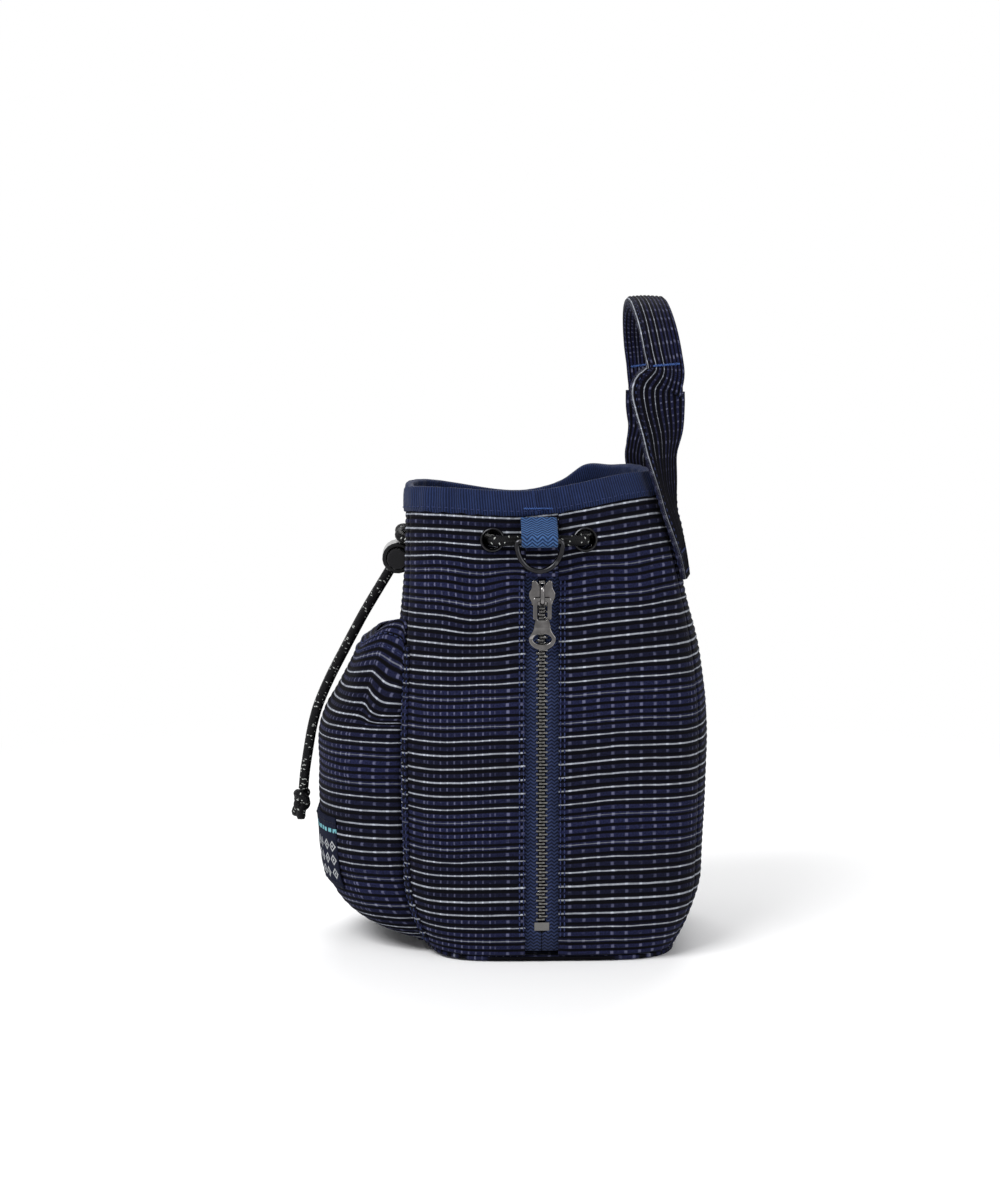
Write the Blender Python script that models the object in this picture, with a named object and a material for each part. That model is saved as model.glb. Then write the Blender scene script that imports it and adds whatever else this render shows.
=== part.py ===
# Kinchaku drawstring pouch: a soft, square-based pouch of ribbed cloth with a bound mouth, a
# slip pocket on its front (-Y), a zip on its near side (+X) and a handle loop at its back (+Y).
# Units are metres, +Z is up, and the origin is the centre of the base's underside.

import math

import bmesh
import bpy
from mathutils import Matrix, Vector

# body
BODY_HEIGHT = 0.187
BASE_WIDTH = 0.124
SHOULDER_WIDTH = 0.117
RIM_WIDTH = 0.108
BASE_DEPTH = 0.1215
BELLY_DEPTH = 0.1265
BELLY_HEIGHT = 0.085
RIM_DEPTH = 0.1050
RIM_SHIFT = 0.0085
BASE_SQUARENESS = 4.6
RIM_SQUARENESS = 3.4
EDGE_INSET = 0.0110
EDGE_HEIGHT = 0.030
SIDE_EDGE_INSET = 0.0045
SIDE_EDGE_HEIGHT = 0.012
EDGE_POWER = 1.6
FRONT_LIFT = 0.0045
LIFT_START = 0.028
RIM_LEVELS = (-0.0030, 0.0035, 0.0, 0.0010, -0.0105, -0.0050, -0.0065, -0.0020)
FRONT_RECESS = 0.0095
BACK_RECESS = 0.0025
RECESS_START = 0.090
RECESS_FULL = 0.152
GATHER_DEPTH = 0.0011
GATHER_COUNT = 7
FRONT_RECESS_SPREAD = math.radians(27)
BACK_RECESS_SPREAD = math.radians(25)
SEAM_ANGLE = math.radians(52.0)

# cloth
CLOTH_THICKNESS = 0.0012
RIB_PITCH = 0.0055
RIB_HEIGHT = 0.00055
SEAM_GAP = 0.0003
BASE_THICKNESS = 0.0016

# binding round the mouth
BINDING_HEIGHT = 0.0085
BINDING_WALL = 0.0009
BINDING_PUCKER = 0.0002

# zip
ZIP_Y = -0.0045
ZIP_OPENING = 0.0130
ZIP_TOP = 0.1515
ZIP_BOTTOM = 0.0125
TAPE_WIDTH = 0.0100
TAPE_THICKNESS = 0.0007
TAPE_GAP = 0.0005
TAPE_FOOT = 0.0040
TEETH_WIDTH = 0.0058
TOOTH_PITCH = 0.0025
TOOTH_HEIGHT = 0.0009
TOOTH_OVERLAP = 0.0010
TEETH_THICKNESS = 0.0020
SLIDER_HEIGHT = 0.0100
SLIDER_SHOULDER = 0.0104
SLIDER_WAIST = 0.0082
SLIDER_PLATE = 0.0011
FLANGE_WALL = 0.0008
CROWN_WIDTH = 0.0022
CROWN_WALL = 0.0011
CROWN_ROOM = 0.0027
PULL_LENGTH = 0.0205
PULL_TOP_WIDTH = 0.0072
PULL_WIDTH = 0.0100
PULL_THICKNESS = 0.0014
PULL_WINDOW = 0.0078
PULL_EYE = 0.0046
STOP_HEIGHT = 0.0032

# eyelets, webbing tabs and D-rings
EYELET_DROP = 0.0178
EYELET_SEAT = 0.0004
EYELET_PRESS = 0.0100
EYELET_HOLE = 0.0070
EYELET_FLANGE = 0.0098
EYELET_WALL = 0.0006
EYELET_RIM = 0.0011
WASHER_THICKNESS = 0.0006
EYELET_SIDES = 12
SIDE_EYELET_SPREAD = 0.0360
FRONT_EYELET_SPREAD = 0.0270
TAB_Y = -0.0058
TAB_WIDTH = 0.0140
TAB_DROP = 0.0092
WEBBING_THICKNESS = 0.0010
RING_WIDTH = 0.0196
RING_WIRE = 0.0021
RING_DROP = 0.0125
RING_BAR_DROP = 0.0178
RING_CORNER = 0.0008
RING_STANDOFF = 0.0080

# front pocket
POCKET_HALF_WIDTH = 0.0425
POCKET_FLARE = 2.5
POCKET_TOP = 0.1240
POCKET_BOTTOM = 0.0055
POCKET_PROFILE = (
    (0.0035, 0.0000), (0.0125, 0.0010), (0.0212, 0.0050), (0.0266, 0.0120), (0.0288, 0.0230),
    (0.0298, 0.0400), (0.0296, 0.0740), (0.0272, 0.0860), (0.0222, 0.0950), (0.0174, 0.1040),
    (0.0124, 0.1135), (0.0066, 0.1185),
)
MITRE_FOOT = 0.085
MITRE_DROP = 0.0055
LABEL_LEVEL = 0.0378
LABEL_HEIGHT = 0.0290
LABEL_ANGLES = (math.radians(47), math.radians(92))
LABEL_THICKNESS = 0.0007

# handle
HANDLE_TOP = 0.2600
STRAP_WIDTH = 0.0270
GRIP_WIDTH = 0.0152
STRAP_THICKNESS = 0.0024
STRAP_SEAT = 0.0006
GRIP_THICKNESS = 0.0046
HANDLE_SPAN = 0.0720
HANDLE_FOOT = 0.1560
HANDLE_LEAN = 0.0040
# above the rim: height share, stand-off from the foot's Y on the near and on the far leg, twist,
# width and thickness as shares from the flat strap to the folded grip
HANDLE_STATIONS = (
    (0.10, 0.0018, 0.0033, 32, 0.00, 0.0), (0.24, 0.0018, 0.0061, 44, 0.00, 0.0),
    (0.38, 0.0006, 0.0068, 54, 0.00, 0.0), (0.48, 0.0000, 0.0070, 60, 0.05, 0.1),
    (0.53, 0.0014, 0.0050, 70, 0.50, 0.5), (0.60, 0.0032, 0.0028, 84, 1.00, 1.0),
)

# drawstring and cord lock; the lock's and the knot's stand-offs count from the plain front, before
# its recess
CORD_DIAMETER = 0.0040
CORD_STEP = 0.0053
CORD_SPACING = 0.0044
LOCK_LEVEL = 0.1545
LOCK_STANDOFF = -0.0016
LOCK_TILT = math.radians(31.0)
LOCK_DIAMETER = 0.0125
LOCK_LENGTH = 0.0190
LOCK_WALL = 0.0012
LOCK_TRAVEL = 0.0020
PLUNGER_DIAMETER = 0.0090
BUTTON_LENGTH = 0.0030
CORD_CLEARANCE = 0.0003
SPRING_WIRE = 0.0005
SPRING_TURNS = 2.5

# the drawstring's route, chosen by hand: from the near front eyelet round to the far one
RIM_ROUTE = (
    (0.0135, -0.0538, 0.1627), (0.0143, -0.0497, 0.1628), (0.0205, -0.0486, 0.1634),
    (0.0310, -0.0510, 0.1645), (0.0415, -0.0482, 0.1652), (0.0480, -0.0395, 0.1656),
    (0.0496, -0.0305, 0.1658), (0.0526, -0.0246, 0.1660), (0.0572, -0.0237, 0.1662),
    (0.0606, -0.0228, 0.1662), (0.0619, -0.0202, 0.1662), (0.0614, -0.0168, 0.1662),
    (0.0607, -0.0136, 0.1662), (0.0606, -0.0058, 0.1662), (0.0607, 0.0020, 0.1662),
    (0.0614, 0.0052, 0.1662), (0.0619, 0.0086, 0.1662), (0.0606, 0.0112, 0.1662),
    (0.0573, 0.0121, 0.1662), (0.0527, 0.0130, 0.1660), (0.0498, 0.0195, 0.1659),
    (0.0475, 0.0290, 0.1657), (0.0410, 0.0370, 0.1655), (0.0310, 0.0425, 0.1653),
    (0.0155, 0.0432, 0.1650), (0.0000, 0.0436, 0.1646), (-0.0154, 0.0438, 0.1640),
    (-0.0305, 0.0422, 0.1630), (-0.0415, 0.0365, 0.1615), (-0.0480, 0.0285, 0.1600),
    (-0.0504, 0.0190, 0.1590), (-0.0532, 0.0130, 0.1588), (-0.0580, 0.0121, 0.1587),
    (-0.0613, 0.0112, 0.1587), (-0.0626, 0.0086, 0.1587), (-0.0621, 0.0052, 0.1587),
    (-0.0614, 0.0020, 0.1587), (-0.0613, -0.0058, 0.1587), (-0.0614, -0.0136, 0.1587),
    (-0.0621, -0.0168, 0.1587), (-0.0626, -0.0202, 0.1587), (-0.0613, -0.0228, 0.1587),
    (-0.0579, -0.0237, 0.1587), (-0.0532, -0.0246, 0.1589), (-0.0503, -0.0305, 0.1596),
    (-0.0482, -0.0395, 0.1605), (-0.0415, -0.0476, 0.1614), (-0.0310, -0.0505, 0.1620),
    (-0.0205, -0.0490, 0.1624), (-0.0143, -0.0497, 0.1626), (-0.0135, -0.0538, 0.1627),
)
# a free tail, from the near front eyelet through the cord lock to the knot: across, stand-off from
# the plain front, level; the far tail mirrors it
TAIL_ROUTE = (
    (0.0135, -0.0075, 0.1627), (0.0132, -0.0043, 0.1629), (0.0115, -0.0023, 0.1639),
    (0.0086, -0.0026, 0.1651), (0.0054, -0.0043, 0.1655), (0.0030, -0.0058, 0.1643),
    (0.0022, -0.0058, 0.1619), (0.0022, -0.0048, 0.1602), (0.0022, -0.0016, 0.1545),
    (0.0022, 0.0023, 0.1476), (0.0022, 0.0068, 0.1399), (0.0022, 0.0112, 0.1322),
    (0.0022, 0.0151, 0.1249), (0.0022, 0.0191, 0.1172), (0.0022, 0.0241, 0.1075),
    (0.0022, 0.0278, 0.0994), (0.0022, 0.0307, 0.0920), (0.0023, 0.0328, 0.0840),
    (0.0024, 0.0344, 0.0750), (0.0023, 0.0361, 0.0660), (0.0022, 0.0370, 0.0591),
)
KNOT_LEVEL = 0.0545
KNOT_STANDOFF = 0.0379
KNOT_SIZE = (0.0105, 0.0090, 0.0085)


def clear_scene():
    for thing in list(bpy.data.objects):
        bpy.data.objects.remove(thing, do_unlink=True)


def material(name, colour, roughness, metallic=0.0):
    made = bpy.data.materials.new(name)
    made.use_nodes = True
    shader = made.node_tree.nodes["Principled BSDF"]
    shader.inputs["Base Color"].default_value = (*colour, 1.0)
    shader.inputs["Roughness"].default_value = roughness
    shader.inputs["Metallic"].default_value = metallic
    return made


def add(name, points, faces, look, smooth=True, place=None):
    """Makes one closed object from points and faces, with its faces turned outward."""
    mesh = bpy.data.meshes.new(name)
    mesh.from_pydata([tuple(p) for p in points], [], faces)
    work = bmesh.new()
    work.from_mesh(mesh)
    bmesh.ops.remove_doubles(work, verts=work.verts, dist=1e-6)
    bmesh.ops.recalc_face_normals(work, faces=work.faces)
    work.to_mesh(mesh)
    work.free()
    if smooth:
        mesh.shade_smooth()
        mesh.set_sharp_from_angle(angle=math.radians(35))
    mesh.materials.append(look)
    made = bpy.data.objects.new(name, mesh)
    bpy.context.collection.objects.link(made)
    if place is not None:
        made.matrix_world = place
    return made


def cut(target, cutter, operation="DIFFERENCE"):
    """Applies a cutter or a joined part to an object as a Boolean modifier."""
    cutter.hide_render = True
    cutter.display_type = "WIRE"
    change = target.modifiers.new(cutter.name, "BOOLEAN")
    change.operation = operation
    change.solver = "EXACT"
    change.object = cutter


def blend(low, high, share):
    return low + (high - low) * share


def ease(share):
    share = min(1.0, max(0.0, share))
    return share * share * (3 - 2 * share)


def catmull(a, b, c, d, t):
    return 0.5 * (2 * b + (c - a) * t + (2 * a - 5 * b + 4 * c - d) * t * t
                  + (3 * b - a - 3 * c + d) * t * t * t)


def smooth_curve(route, spacing, steps=12):
    """Points at an even spacing on a smooth curve through the route's own points."""
    knots = [Vector(p) for p in route]
    knots = [2 * knots[0] - knots[1], *knots, 2 * knots[-1] - knots[-2]]
    fine = []
    for i in range(1, len(knots) - 2):
        fine += [catmull(*knots[i - 1:i + 3], k / steps) for k in range(steps)]
    fine.append(knots[-2])
    total = sum((q - p).length for p, q in zip(fine, fine[1:]))
    count = max(2, round(total / spacing))
    out, walked, target = [fine[0]], 0.0, total / count
    for p, q in zip(fine, fine[1:]):
        step = (q - p).length
        while walked + step >= target - 1e-9 and len(out) < count:
            out.append(p.lerp(q, (target - walked) / step))
            target += total / count
        walked += step
    return out + [fine[-1]]


# the body's surface: phi turns from +X (near side) towards +Y (back)

def narrowing(z):
    return max(0.0, (z - BELLY_HEIGHT) / (BODY_HEIGHT - BELLY_HEIGHT)) ** 2


def half_width(z):
    straight = blend(BASE_WIDTH, SHOULDER_WIDTH, z / ZIP_TOP) / 2
    above = max(0.0, (z - ZIP_TOP) / (BODY_HEIGHT - ZIP_TOP))
    fall = blend(BASE_WIDTH, SHOULDER_WIDTH, BODY_HEIGHT / ZIP_TOP) / 2 - RIM_WIDTH / 2
    edge = SIDE_EDGE_INSET * max(0.0, 1 - z / SIDE_EDGE_HEIGHT) ** EDGE_POWER
    return straight - fall * above ** 2 - edge


def half_depth(z):
    low = blend(BASE_DEPTH, BELLY_DEPTH, ease(z / BELLY_HEIGHT)) / 2
    edge = EDGE_INSET * max(0.0, 1 - z / EDGE_HEIGHT) ** EDGE_POWER
    return low - (BELLY_DEPTH - RIM_DEPTH) / 2 * narrowing(z) - edge


def centre_y(z):
    return -RIM_SHIFT * narrowing(z)


def plain_point(phi, z):
    """A point on the body before its gathers and folds."""
    n = blend(BASE_SQUARENESS, RIM_SQUARENESS, z / BODY_HEIGHT)
    c, s = math.cos(phi), math.sin(phi)
    r = (abs(c) ** n + abs(s) ** n) ** (-1 / n)
    return Vector((half_width(z) * c * r, centre_y(z) + half_depth(z) * s * r, z))


def away(phi, target):
    """Angle from phi to target, between -pi and pi."""
    return (phi - target + math.pi) % (2 * math.pi) - math.pi


# each drape fold: angle, level, half width (angle), half height, depth, lean (angle per metre)
FOLDS = (
    (math.radians(-20), 0.136, math.radians(11), 0.026, -0.0030, 6.0),
    (math.radians(30), 0.150, math.radians(9), 0.016, -0.0014, -8.0),
    (math.radians(36), 0.118, math.radians(12), 0.020, 0.0012, 0.0),
    (math.radians(-38), 0.165, math.radians(9), 0.016, 0.0012, 0.0),
    (math.radians(70), 0.150, math.radians(13), 0.024, -0.0016, 5.0),
    (math.radians(118), 0.135, math.radians(15), 0.028, -0.0018, -5.0),
    (math.radians(150), 0.140, math.radians(11), 0.024, -0.0024, 6.0),
    (math.radians(205), 0.142, math.radians(12), 0.026, -0.0024, -6.0),
    (math.radians(180), 0.095, math.radians(18), 0.034, 0.0015, 0.0),
    (math.radians(90), 0.090, math.radians(24), 0.040, 0.0018, 0.0),
)


def folds(phi, z):
    """How far the cloth stands out from its plain surface, in metres."""
    near_rim = narrowing(z)
    out = GATHER_DEPTH * near_rim ** 2 * math.cos(GATHER_COUNT * phi)
    front, back = away(phi, -math.pi / 2), away(phi, math.pi / 2)
    pull = ease((z - RECESS_START) / (RECESS_FULL - RECESS_START))
    out -= FRONT_RECESS * pull * math.exp(-(front / FRONT_RECESS_SPREAD) ** 2)
    out -= BACK_RECESS * pull * math.exp(-(back / BACK_RECESS_SPREAD) ** 2)
    for angle, level, across, along, depth, lean in FOLDS:
        turn = away(phi, angle + lean * (z - level)) / across
        rise = (z - level) / along
        out += depth * math.exp(-turn * turn - rise * rise)
    # the zip, and the row of eyelets and tab above it, keep the near and far sides flat
    if abs(math.cos(phi)) < 0.7:
        return out
    off = abs(math.tan(phi) * half_depth(z) + centre_y(z) - TAB_Y)
    high = ease((z - ZIP_TOP) / (EYELET_PRESS * 0.6))
    flat = blend(ZIP_OPENING / 2, SIDE_EYELET_SPREAD / 2, high) + EYELET_PRESS * 0.7
    return out * ease((off - flat) / EYELET_PRESS)


def plain_normal(phi, z):
    step = 1e-3
    along = plain_point(phi + step, z) - plain_point(phi - step, z)
    up = plain_point(phi, z + step / 4) - plain_point(phi, z - step / 4)
    return along.cross(up).normalized()


def cloth_point(phi, z):
    point = plain_point(phi, z) + plain_normal(phi, z) * folds(phi, z)
    return Vector((point.x, point.y, z))


def cloth(phi, z, out=0.0):
    """A point on the cloth's outer face, moved out along the face's own normal."""
    step = 2e-3
    point = cloth_point(phi, z)
    if not out:
        return point
    along = cloth_point(phi + step, z) - cloth_point(phi - step, z)
    up = cloth_point(phi, z + step / 4) - cloth_point(phi, z - step / 4)
    return point + along.cross(up).normalized() * out


def rim_level(phi):
    share = (phi / (2 * math.pi)) % 1.0 * len(RIM_LEVELS)
    first = int(share)
    near = [RIM_LEVELS[(first + k) % len(RIM_LEVELS)] for k in (-1, 0, 1, 2)]
    return BODY_HEIGHT + catmull(*near, share - first)


def floor_level(y):
    """Height of the base's underside: its front edge curls up."""
    return FRONT_LIFT * max(0.0, (-y - LIFT_START) / (BASE_DEPTH / 2 - LIFT_START)) ** 2


def panel_foot(phi):
    y = cloth_point(phi, BASE_THICKNESS + SEAM_GAP).y
    return BASE_THICKNESS + SEAM_GAP + floor_level(y)


def angle_at(y, z, far=False):
    """The angle at which the near or far side's cloth crosses a Y position."""
    turn = math.atan((y - centre_y(z)) / half_depth(z))
    return math.pi - turn if far else turn


def skin(outer, outer_shares, inner, inner_shares):
    """Closes a sheet between an outer grid and a coarser inner grid with the same columns."""
    columns = len(outer[0])
    points = [p for row in outer for p in row] + [p for row in inner for p in row]
    start = len(outer) * columns
    faces = []
    for rows, first in ((len(outer), 0), (len(inner), start)):
        for j in range(rows - 1):
            for i in range(columns - 1):
                a = first + j * columns + i
                faces.append((a, a + 1, a + columns + 1, a + columns))
    for row, inner_row in ((0, 0), (len(outer) - 1, len(inner) - 1)):
        for i in range(columns - 1):
            a, b = row * columns + i, start + inner_row * columns + i
            faces.append((a, a + 1, b + 1, b))
    for column in (0, columns - 1):
        a, b = 0, 0
        while a < len(outer) - 1 or b < len(inner) - 1:
            at_a, at_b = a * columns + column, start + b * columns + column
            step_outer = b == len(inner) - 1 or (
                a < len(outer) - 1 and outer_shares[a + 1] <= inner_shares[b + 1])
            if step_outer:
                faces.append((at_a, at_a + columns, at_b))
                a += 1
            else:
                faces.append((at_a, at_b + columns, at_b))
                b += 1
    return points, faces


def rib_shares(height):
    """Row positions over a ribbed height: a valley and a crest for each rib."""
    count = max(2, 2 * round(height / RIB_PITCH))
    return [k / count for k in range(count + 1)]


def body_panel(name, left, right, columns, look, bottom=None, plain_below=0.0):
    """A ribbed panel between two edges, each given as the angle at a height."""
    plain_top = 1 - (BINDING_HEIGHT + 2 * SEAM_GAP) / BODY_HEIGHT
    shares = [s for s in rib_shares(BODY_HEIGHT) if s < plain_top] + [plain_top, 1.0]
    lowest = 0.0 if bottom is None else bottom / BODY_HEIGHT
    shares = [lowest] + [s for s in shares if s > lowest + 0.008]
    if plain_below:
        shares = [s for k, s in enumerate(shares)
                  if k % 4 == 0 or s * BODY_HEIGHT > plain_below or s < 0.16]
    coarse = [s for k, s in enumerate(shares)
              if s in (lowest, plain_top, 1.0) or (s < 0.16 and k % 2 == 0) or k % 5 == 0]

    def row(share, out):
        line = []
        for i in range(columns + 1):
            z = share * BODY_HEIGHT
            phi = blend(left(z), right(z), i / columns)
            foot = panel_foot(phi) if bottom is None else bottom
            top = rim_level(phi)
            level = blend(foot, top, (share - lowest) / (1 - lowest))
            phi = blend(left(level), right(level), i / columns)
            line.append(cloth(phi, level, out))
        return line

    outer = []
    crests = set(rib_shares(BODY_HEIGHT)[1::2])
    for share in shares:
        ribbed = plain_below < share * BODY_HEIGHT and share < plain_top and share in crests
        outer.append(row(share, RIB_HEIGHT if ribbed else 0.0))
    inner = [row(share, -CLOTH_THICKNESS) for share in coarse]
    points, faces = skin(outer, shares, inner, coarse)
    return add(name, points, faces, look)


def seam(base_angle, side):
    """A seam's edge at a fixed angle, set back by half a gap on the panel's own side."""
    def edge(z):
        return base_angle + side * SEAM_GAP / 2 / half_depth(z) * 1.3
    return edge


def zip_edge(offset):
    def edge(z):
        return angle_at(ZIP_Y + offset, z)
    return edge


def panel_edges():
    """Each body panel's left edge, right edge and number of columns."""
    half = ZIP_OPENING / 2
    back, front = math.pi - SEAM_ANGLE, math.pi + SEAM_ANGLE
    return {
        "side_panel_front_strip": (seam(-SEAM_ANGLE, 1), zip_edge(-half), 6),
        "zip_top_patch": (zip_edge(-half + SEAM_GAP), zip_edge(half - SEAM_GAP), 1),
        "side_panel_rear_strip": (zip_edge(half), seam(SEAM_ANGLE, -1), 6),
        "back_panel": (seam(SEAM_ANGLE, 1), seam(back, -1), 7),
        "side_panel_far": (seam(back, 1), seam(front, -1), 7),
        "front_panel": (seam(front, 1), seam(2 * math.pi - SEAM_ANGLE, -1), 8),
    }


def rim_angles():
    """The panels' column angles at the rim, round the whole mouth."""
    angles = []
    for left, right, columns in panel_edges().values():
        start, end = left(BODY_HEIGHT), right(BODY_HEIGHT)
        angles += [blend(start, end, i / columns) for i in range(columns + 1)]
    return angles


def make_body(look):
    made = {}
    for name, (left, right, columns) in panel_edges().items():
        bottom = ZIP_TOP + SEAM_GAP if name == "zip_top_patch" else None
        plain_below = POCKET_TOP - RIB_PITCH if name == "front_panel" else 0.0
        made[name] = body_panel(name, left, right, columns, look, bottom, plain_below)
    return made


def make_base(look):
    """The base: a flat sheet whose front edge curls up, cut to the panels' lower edge."""
    rings, spokes = 4, 36
    top, under = [], []
    for k in range(1, rings + 1):
        for i in range(spokes):
            rim = cloth_point(2 * math.pi * i / spokes, BASE_THICKNESS + SEAM_GAP)
            x, y = rim.x * k / rings, rim.y * k / rings
            low = floor_level(y)
            under.append(Vector((x, y, low)))
            top.append(Vector((x, y, low + BASE_THICKNESS)))
    points = under + top
    half = rings * spokes
    faces = [tuple(range(spokes)), tuple(range(half, half + spokes))]
    for first in (0, half):
        for k in range(rings - 1):
            for i in range(spokes):
                a, b = first + k * spokes + i, first + k * spokes + (i + 1) % spokes
                faces.append((a, b, b + spokes, a + spokes))
    edge = (rings - 1) * spokes
    for i in range(spokes):
        a, b = edge + i, edge + (i + 1) % spokes
        faces.append((a, b, half + b, half + a))
    add("base_panel", points, faces, look)


def ring_of_sections(name, sections, look, closed=True, place=None, smooth=True):
    """Joins like sections, each a closed loop of points, into a ring or a capped bar."""
    size, count = len(sections[0]), len(sections)
    points = [p for section in sections for p in section]
    faces = []
    for k in range(count if closed else count - 1):
        for i in range(size):
            a, b = k * size + i, k * size + (i + 1) % size
            c, d = (k + 1) % count * size + i, (k + 1) % count * size + (i + 1) % size
            faces.append((a, b, d, c))
    if not closed:
        faces.append(tuple(range(size)))
        faces.append(tuple(range((count - 1) * size, count * size)))
    return add(name, points, faces, look, smooth, place)


def make_binding(look):
    """The tape folded over the mouth: an upside-down U round the panels' upper edge."""
    inner = CLOTH_THICKNESS + SEAM_GAP
    drop = BINDING_HEIGHT
    over = SEAM_GAP + BINDING_WALL
    outline = (
        (SEAM_GAP, -drop), (SEAM_GAP + BINDING_WALL, -drop),
        (SEAM_GAP + BINDING_WALL, over * 0.4), (SEAM_GAP * 0.5, over),
        (-CLOTH_THICKNESS, over), (-inner - BINDING_WALL, over * 0.4),
        (-inner - BINDING_WALL, -drop), (-inner, -drop),
        (-inner, SEAM_GAP), (SEAM_GAP, SEAM_GAP),
    )
    sections = []
    for k, phi in enumerate(rim_angles()):
        top = rim_level(phi)
        pucker = BINDING_PUCKER * math.cos(5.5 * k)
        sections.append([cloth(phi, top - drop, out + (pucker if out > 0 else 0)) if rise < 0
                         else cloth(phi, top, out) + Vector((0, 0, rise))
                         for out, rise in outline])
    ring_of_sections("rim_binding", sections, look)


# the front pocket

def pocket_rows(count, depth):
    """The pocket's side view at even steps: (stand-off from the front panel, level)."""
    route = [Vector((out, 0.0, POCKET_BOTTOM + rise)) for out, rise in POCKET_PROFILE]
    line = smooth_curve(route, RIB_PITCH / 2)
    picked = [line[round(k * (len(line) - 1) / count)] for k in range(count + 1)]
    rows = []
    for k, point in enumerate(picked):
        ahead, behind = picked[min(k + 1, count)], picked[max(k - 1, 0)]
        along = (ahead - behind).normalized()
        normal = Vector((along.z, 0.0, -along.x))
        rows.append(point - normal * depth)
    return rows


def pocket_point(across, row, depth, lift=0.0):
    """A point on the pocket: across runs from 0 at the near seam to pi at the far seam."""
    stand, level = max(row.x, 0.0002), row.z
    width = POCKET_HALF_WIDTH - depth
    shape = 2 / POCKET_FLARE
    share = abs(math.cos(across)) ** shape
    x = width * math.copysign(share, math.cos(across))
    swell = math.sin(across) ** shape if 0 < across < math.pi else 0.0
    rise = max(0.0, (level - POCKET_BOTTOM - MITRE_FOOT) / (POCKET_TOP - POCKET_BOTTOM - MITRE_FOOT))
    drop = MITRE_DROP * 4 * rise * max(0.0, 1 - rise) * ease((share - 0.84) / 0.14)
    z = level - drop
    y = front_y(x, z) - SEAM_GAP - stand * swell - lift * swell
    return Vector((x, y, z))


def front_y(x, z):
    """Where the plain front stands at an X position, before its gathers."""
    n = blend(BASE_SQUARENESS, RIM_SQUARENESS, z / BODY_HEIGHT)
    share = min(1.0, abs(x) / half_width(z))
    return centre_y(z) - half_depth(z) * (1 - share ** n) ** (1 / n)


def panel_angle(x, z):
    """The angle at which the front panel stands at an X position."""
    low, high = math.radians(-140), math.radians(-40)
    for _ in range(18):
        middle = (low + high) / 2
        if cloth_point(middle, z).x < x:
            low = middle
        else:
            high = middle
    return (low + high) / 2


def make_pocket(look):
    rows = 2 * round(1.25 * (POCKET_TOP - POCKET_BOTTOM) / RIB_PITCH)
    columns = 16
    outer_rows = pocket_rows(rows, 0.0)
    inner_rows = pocket_rows(rows, CLOTH_THICKNESS)
    shares = [k / rows for k in range(rows + 1)]
    coarse = [k for k in range(rows + 1) if k % 4 == 0 or k == rows]

    def line(row, depth, lift):
        return [pocket_point(math.pi * i / columns, row, depth, lift)
                for i in range(columns + 1)]

    outer = [line(row, 0.0, RIB_HEIGHT if k % 2 else 0.0) for k, row in enumerate(outer_rows)]
    inner = [line(inner_rows[k], CLOTH_THICKNESS, 0.0) for k in coarse]
    points, faces = skin(outer, shares, inner, [k / rows for k in coarse])
    add("front_pocket", points, faces, look)


def make_label(look):
    """The woven patch sewn round the pocket's near front corner."""
    start, end = LABEL_ANGLES
    columns, rows = 9, 6
    profile = pocket_rows(120, 0.0)
    outer, inner = [], []
    for j in range(rows + 1):
        level = LABEL_LEVEL - LABEL_HEIGHT / 2 + LABEL_HEIGHT * j / rows
        row = min(profile, key=lambda p: abs(p.z - level))
        row = Vector((row.x, 0.0, level))
        spread = [start + (end - start) * i / columns for i in range(columns + 1)]
        base = 2 * SEAM_GAP + RIB_HEIGHT
        outer.append([pocket_out(a, row, base + LABEL_THICKNESS) for a in spread])
        inner.append([pocket_out(a, row, base) for a in spread])
    shares = [j / rows for j in range(rows + 1)]
    points, faces = skin(outer, shares, inner, shares)
    add("label_patch", points, faces, look)


def pocket_out(across, row, out):
    """A point off the pocket's face, along the face's level normal."""
    step = math.radians(1.5)
    here = pocket_point(across, row, 0.0)
    along = pocket_point(across + step, row, 0.0) - pocket_point(across - step, row, 0.0)
    return here + Vector((along.y, -along.x, 0.0)).normalized() * -out


# the zip, laid out in its own frame: local Z up the zip, X out of the pouch

def zip_frame(level):
    """Where the zip's middle plane stands at a level, tilted like the near side."""
    lean = math.atan((BASE_WIDTH - SHOULDER_WIDTH) / 2 / ZIP_TOP)
    surface = half_width(max(level, SIDE_EDGE_HEIGHT))
    depth = CLOTH_THICKNESS + TAPE_GAP + TAPE_THICKNESS / 2
    spot = Vector((surface - depth, ZIP_Y, level))
    return Matrix.Translation(spot) @ Matrix.Rotation(-lean, 4, "Y")


def prism(name, outline, low, high, look, place=None, axis="X", smooth=False):
    """Extrudes an outline (two coordinates a point) along one axis."""
    def put(a, b, c):
        return {"X": (c, a, b), "Y": (a, c, b), "Z": (a, b, c)}[axis]
    size = len(outline)
    points = [put(a, b, low) for a, b in outline] + [put(a, b, high) for a, b in outline]
    faces = [tuple(range(size)), tuple(range(size, 2 * size))]
    faces += [(i, (i + 1) % size, size + (i + 1) % size, size + i) for i in range(size)]
    return add(name, points, faces, look, smooth, place)


def box_outline(low_a, high_a, low_b, high_b):
    return [(low_a, low_b), (high_a, low_b), (high_a, high_b), (low_a, high_b)]


def zip_middle():
    return (ZIP_TOP + ZIP_BOTTOM) / 2


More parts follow.
